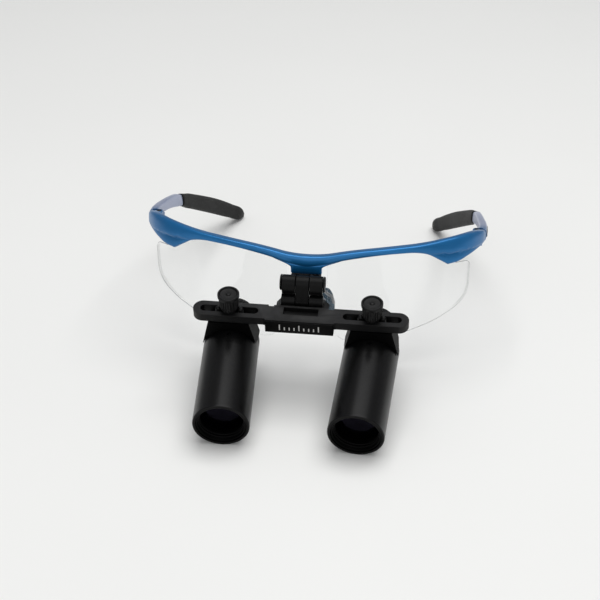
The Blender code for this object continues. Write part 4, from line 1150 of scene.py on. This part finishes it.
def build_saddle(side, tag, slide, optic):
    """Saddle under the bar that holds the tube, and its two guide pins."""
    outline = [(-SADDLE_TOP, BAR_LOW - 0.3), (SADDLE_TOP, BAR_LOW - 0.3),
               (SADDLE_LOW, -14.6), (-SADDLE_LOW, -14.6)]
    saddle = part(f"scope_saddle_{tag}", extrude(outline, -SADDLE_HALF, SADDLE_HALF, "Y"),
                  slide, 0)
    drill(saddle, optic, TUBE_R + CLEARANCE, -9, 9, 128, "Y")
    bevel(saddle, 0.2, angle=30)
    drill(saddle, slide, 1.6, -12, 0, 32)
    profile = [(0, -4.5), (GUIDE_PIN_R, -4.5), (GUIDE_PIN_R, 1.5)]
    profile += arc(0, 1.55, GUIDE_PIN_R, 8, 88, 8) + [(0, 1.55 + GUIDE_PIN_R)]
    for end in (-1, 1):
        axes = shifted(slide, end * GUIDE_PIN_X)
        drill(saddle, axes, GUIDE_PIN_R + CLEARANCE, -4.8, 0, 32)
        place = "inner" if end * side < 0 else "outer"
        pin = part(f"guide_pin_{tag}_{place}", turned(profile, 40), axes, 40)
        piece(pin, f"telescope_{tag}", ANODISED)
    shade(saddle, 35)
    # the saddle's near-black finish is painted shade for the crossbar's shadow
    piece(weighted(saddle), f"telescope_{tag}", SADDLE_SHADE)


def build_clamp_screw(tag, slide):
    profile = [(0, -5.2), (1.0, -5.2), (1.3, -4.9)]
    for i in range(THREAD_TURNS):
        z = -4.9 + THREAD_PITCH * i
        profile += [(1.3, z + 0.1), (1.12, z + 0.2), (1.12, z + 0.25), (1.3, z + 0.35)]
    profile += [(1.3, 6.7), (0, 6.7)]
    screw = part(f"clamp_screw_{tag}", turned(profile, 40), slide, 30)
    piece(screw, f"knob_{tag}", DARK_STEEL)


def fluted(r, height, angle):
    if FLUTE_LOW <= height <= FLUTE_TOP and r > 3.7:
        return 1.0 - FLUTE_DEPTH * (0.5 - 0.5 * math.cos(FLUTES * angle)) ** 1.6
    return 1.0


def build_knob(tag, slide):
    outline = rounded(KNOB, 0.1, 3, closed=False)
    profile = []
    for a, b in zip(outline, outline[1:]):
        steps = 6 if min(a[0], b[0]) > 3.7 and b[1] - a[1] > 3 else 1    # along the flutes
        for k in range(steps):
            profile.append((a[0] + (b[0] - a[0]) * k / steps, a[1] + (b[1] - a[1]) * k / steps))
    profile.append(outline[-1])
    knob = part(f"clamp_knob_{tag}", turned(profile, 192, shape=fluted), slide, 35)
    piece(weighted(knob), f"knob_{tag}", ANODISED)


def build_barrel(tag, optic):
    barrel = ring_part(f"barrel_{tag}", BARREL, optic)
    drill(barrel, shifted(optic, 0, GRUB_Y), 0.95, 8.5, 13, 32)
    for material in (TUBE, INSIDE):
        barrel.data.materials.append(material)
    for face in barrel.data.polygons:
        centre = face.center / MM
        face.material_index = 1 if math.hypot(centre.x, centre.z) < 10.75 else 0
    shade(barrel, 30)
    piece(weighted(barrel), f"telescope_{tag}")


def build_grub_screw(tag, optic):
    axes = shifted(optic, 0, GRUB_Y)
    profile = [(0, 9.9), (0.65, 9.9), (0.65, 11.05), (0.6, 11.15), (0, 11.15)]
    screw = part(f"grub_screw_{tag}", turned(profile, 32), axes, 35)
    cut_hexagon(screw, axes, 0.36, 10.6, 12)
    shade(screw, 35)
    piece(screw, f"telescope_{tag}", DARK_STEEL)


def domed(radius, middle, sag, steps):
    """Profile of a lens face, from its middle to its rim."""
    return [(radius * k / steps, middle + sag * (k / steps) ** 2) for k in range(steps + 1)]


def build_optics(tag, optic):
    """Rings, housing and glass, from the front of the telescope to the eyepiece."""
    body = f"telescope_{tag}"
    ring = ring_part(f"lens_ring_{tag}", LENS_RING, optic, corner=0.08, steps=3)
    piece(weighted(ring), body, INSIDE)

    profile = domed(9.2, -41.9, 1.5, 14) + domed(9.2, -37.7, -0.9, 14)[::-1]
    objective = part(f"objective_lens_{tag}", turned(profile, 128, "Y"), optic, 40)
    piece(objective, body, OBJECTIVE)

    housing = ring_part(f"rear_housing_{tag}", HOUSING, optic)
    piece(weighted(housing), body, ANODISED)

    prism = part(f"erecting_prism_{tag}", extrude(PRISM_OUTLINE, 1.0, 9.6, "Y"), optic, 0)
    bevel(prism, 0.2, angle=30, segments=2)
    piece(prism, body, PRISM)

    ring = ring_part(f"eyepiece_ring_{tag}", EYEPIECE_RING, optic, segments=128, smooth=35)
    piece(weighted(ring), body, MATT)

    profile = domed(5.4, 18.2, -0.8, 12) + [(5.4, 15.6), (0, 15.3)]
    ocular = part(f"ocular_lens_{tag}", turned(profile, 96, "Y"), optic, 40)
    piece(ocular, body, OCULAR)


for side, tag in SIDES:
    slide = shifted(BAR, side * SCOPE_X)
    optic = telescope_axes(side, tag)
    build_saddle(side, tag, slide, optic)
    build_clamp_screw(tag, slide)
    build_knob(tag, slide)
    build_barrel(tag, optic)
    build_grub_screw(tag, optic)
    build_optics(tag, optic)


# ------------------------------------------------------------------- studio (metres)
def floor_paper():
    material, tree, output = new_material("floor_paper")
    paper = node(tree, "ShaderNodeBsdfPrincipled",
                 {"Roughness": 0.7, "Specular IOR Level": 0.25})
    place = node(tree, "ShaderNodeTexCoord").outputs["Object"]
    noise = node(tree, "ShaderNodeTexNoise", {"Scale": 6.0, "Vector": place})
    colour = mix_colour(tree, noise.outputs["Fac"],
                        (0.825, 0.825, 0.805, 1), (0.855, 0.855, 0.835, 1))
    tree.links.new(colour, paper.inputs["Base Color"])
    tree.links.new(paper.outputs[0], output.inputs[0])
    return material


def build_floor():
    """Paper that sweeps up into a wall at the back."""
    material = floor_paper()
    half_width, bend_y, bend_r = 3.5, 2.2, 0.8
    profile = [(-2.5, 0.0), (bend_y, 0.0)]               # y, z
    for degrees in range(10, 91, 10):
        a = math.radians(degrees)
        profile.append((bend_y + bend_r * math.sin(a), bend_r - bend_r * math.cos(a)))
    profile.append((3.0, 2.6))
    verts = [(x, y, z) for y, z in profile for x in (-half_width, half_width)]
    faces = [(2 * i, 2 * i + 1, 2 * i + 3, 2 * i + 2) for i in range(len(profile) - 1)]
    data = bpy.data.meshes.new("studio_floor")
    data.from_pydata(verts, [], faces)
    data.shade_smooth()
    floor = bpy.data.objects.new("studio_floor", data)
    bpy.context.scene.collection.objects.link(floor)
    data.materials.append(material)


def area_light(name, place, size, power):
    """Square light aimed at the world origin."""
    light = bpy.data.lights.new(name, "AREA")
    light.energy = power
    light.size = size
    ob = bpy.data.objects.new(name, light)
    ob.location = place
    ob.rotation_mode = "QUATERNION"
    ob.rotation_quaternion = (-Vector(place)).to_track_quat("-Z", "Y")
    bpy.context.scene.collection.objects.link(ob)


def build_world():
    """Soft light all round; the camera itself sees a tone as pale as the paper."""
    world = bpy.data.worlds.new("studio")
    bpy.context.scene.world = world
    world.use_nodes = True
    tree = world.node_tree
    light = tree.nodes["Background"]
    light.inputs[0].default_value = (0.96, 0.97, 1.0, 1)
    light.inputs[1].default_value = 0.36
    seen = node(tree, "ShaderNodeBackground", {0: (0.84, 0.84, 0.83, 1)})
    ray = node(tree, "ShaderNodeLightPath")
    chosen = mix_shader(tree, ray.outputs["Is Camera Ray"], light.outputs[0], seen.outputs[0])
    output = next(n for n in tree.nodes if n.type == "OUTPUT_WORLD")
    tree.links.new(chosen, output.inputs[0])


def build_camera():
    """Camera placed in the frame's axes, in front of it and above."""
    elevation, turn, roll = math.radians(20.0), math.radians(6.0), math.radians(1.65)
    aim, distance = Vector((-2.05, 0, -17.5)), 617.0     # mm
    back = Vector((math.sin(turn) * math.cos(elevation), -math.cos(turn) * math.cos(elevation),
                   math.sin(elevation)))
    level = Vector((math.cos(turn), math.sin(turn), 0))
    upright = back.cross(level)
    right = level * math.cos(roll) + upright * math.sin(roll)
    up = upright * math.cos(roll) - level * math.sin(roll)
    local = Matrix((right, up, back)).transposed().to_4x4()
    local.translation = (aim + back * distance) * MM
    data = bpy.data.cameras.new("camera")
    data.sensor_width = 36.0
    data.lens = 88.38
    data.clip_start = 0.02
    data.clip_end = 20.0
    camera = bpy.data.objects.new("camera", data)
    bpy.context.scene.collection.objects.link(camera)
    camera.matrix_world = FRAME @ local
    bpy.context.scene.camera = camera


build_floor()
area_light("key_overhead", place=(0.14, -0.02, 1.25), size=1.15, power=12.9)
area_light("fill_front", place=(0.0, -1.30, 0.55), size=1.1, power=4.0)
build_world()
view = bpy.context.scene.view_settings
view.view_transform = "Standard"
view.look = "None"
view.exposure = 0.0
view.gamma = 1.0
build_camera()
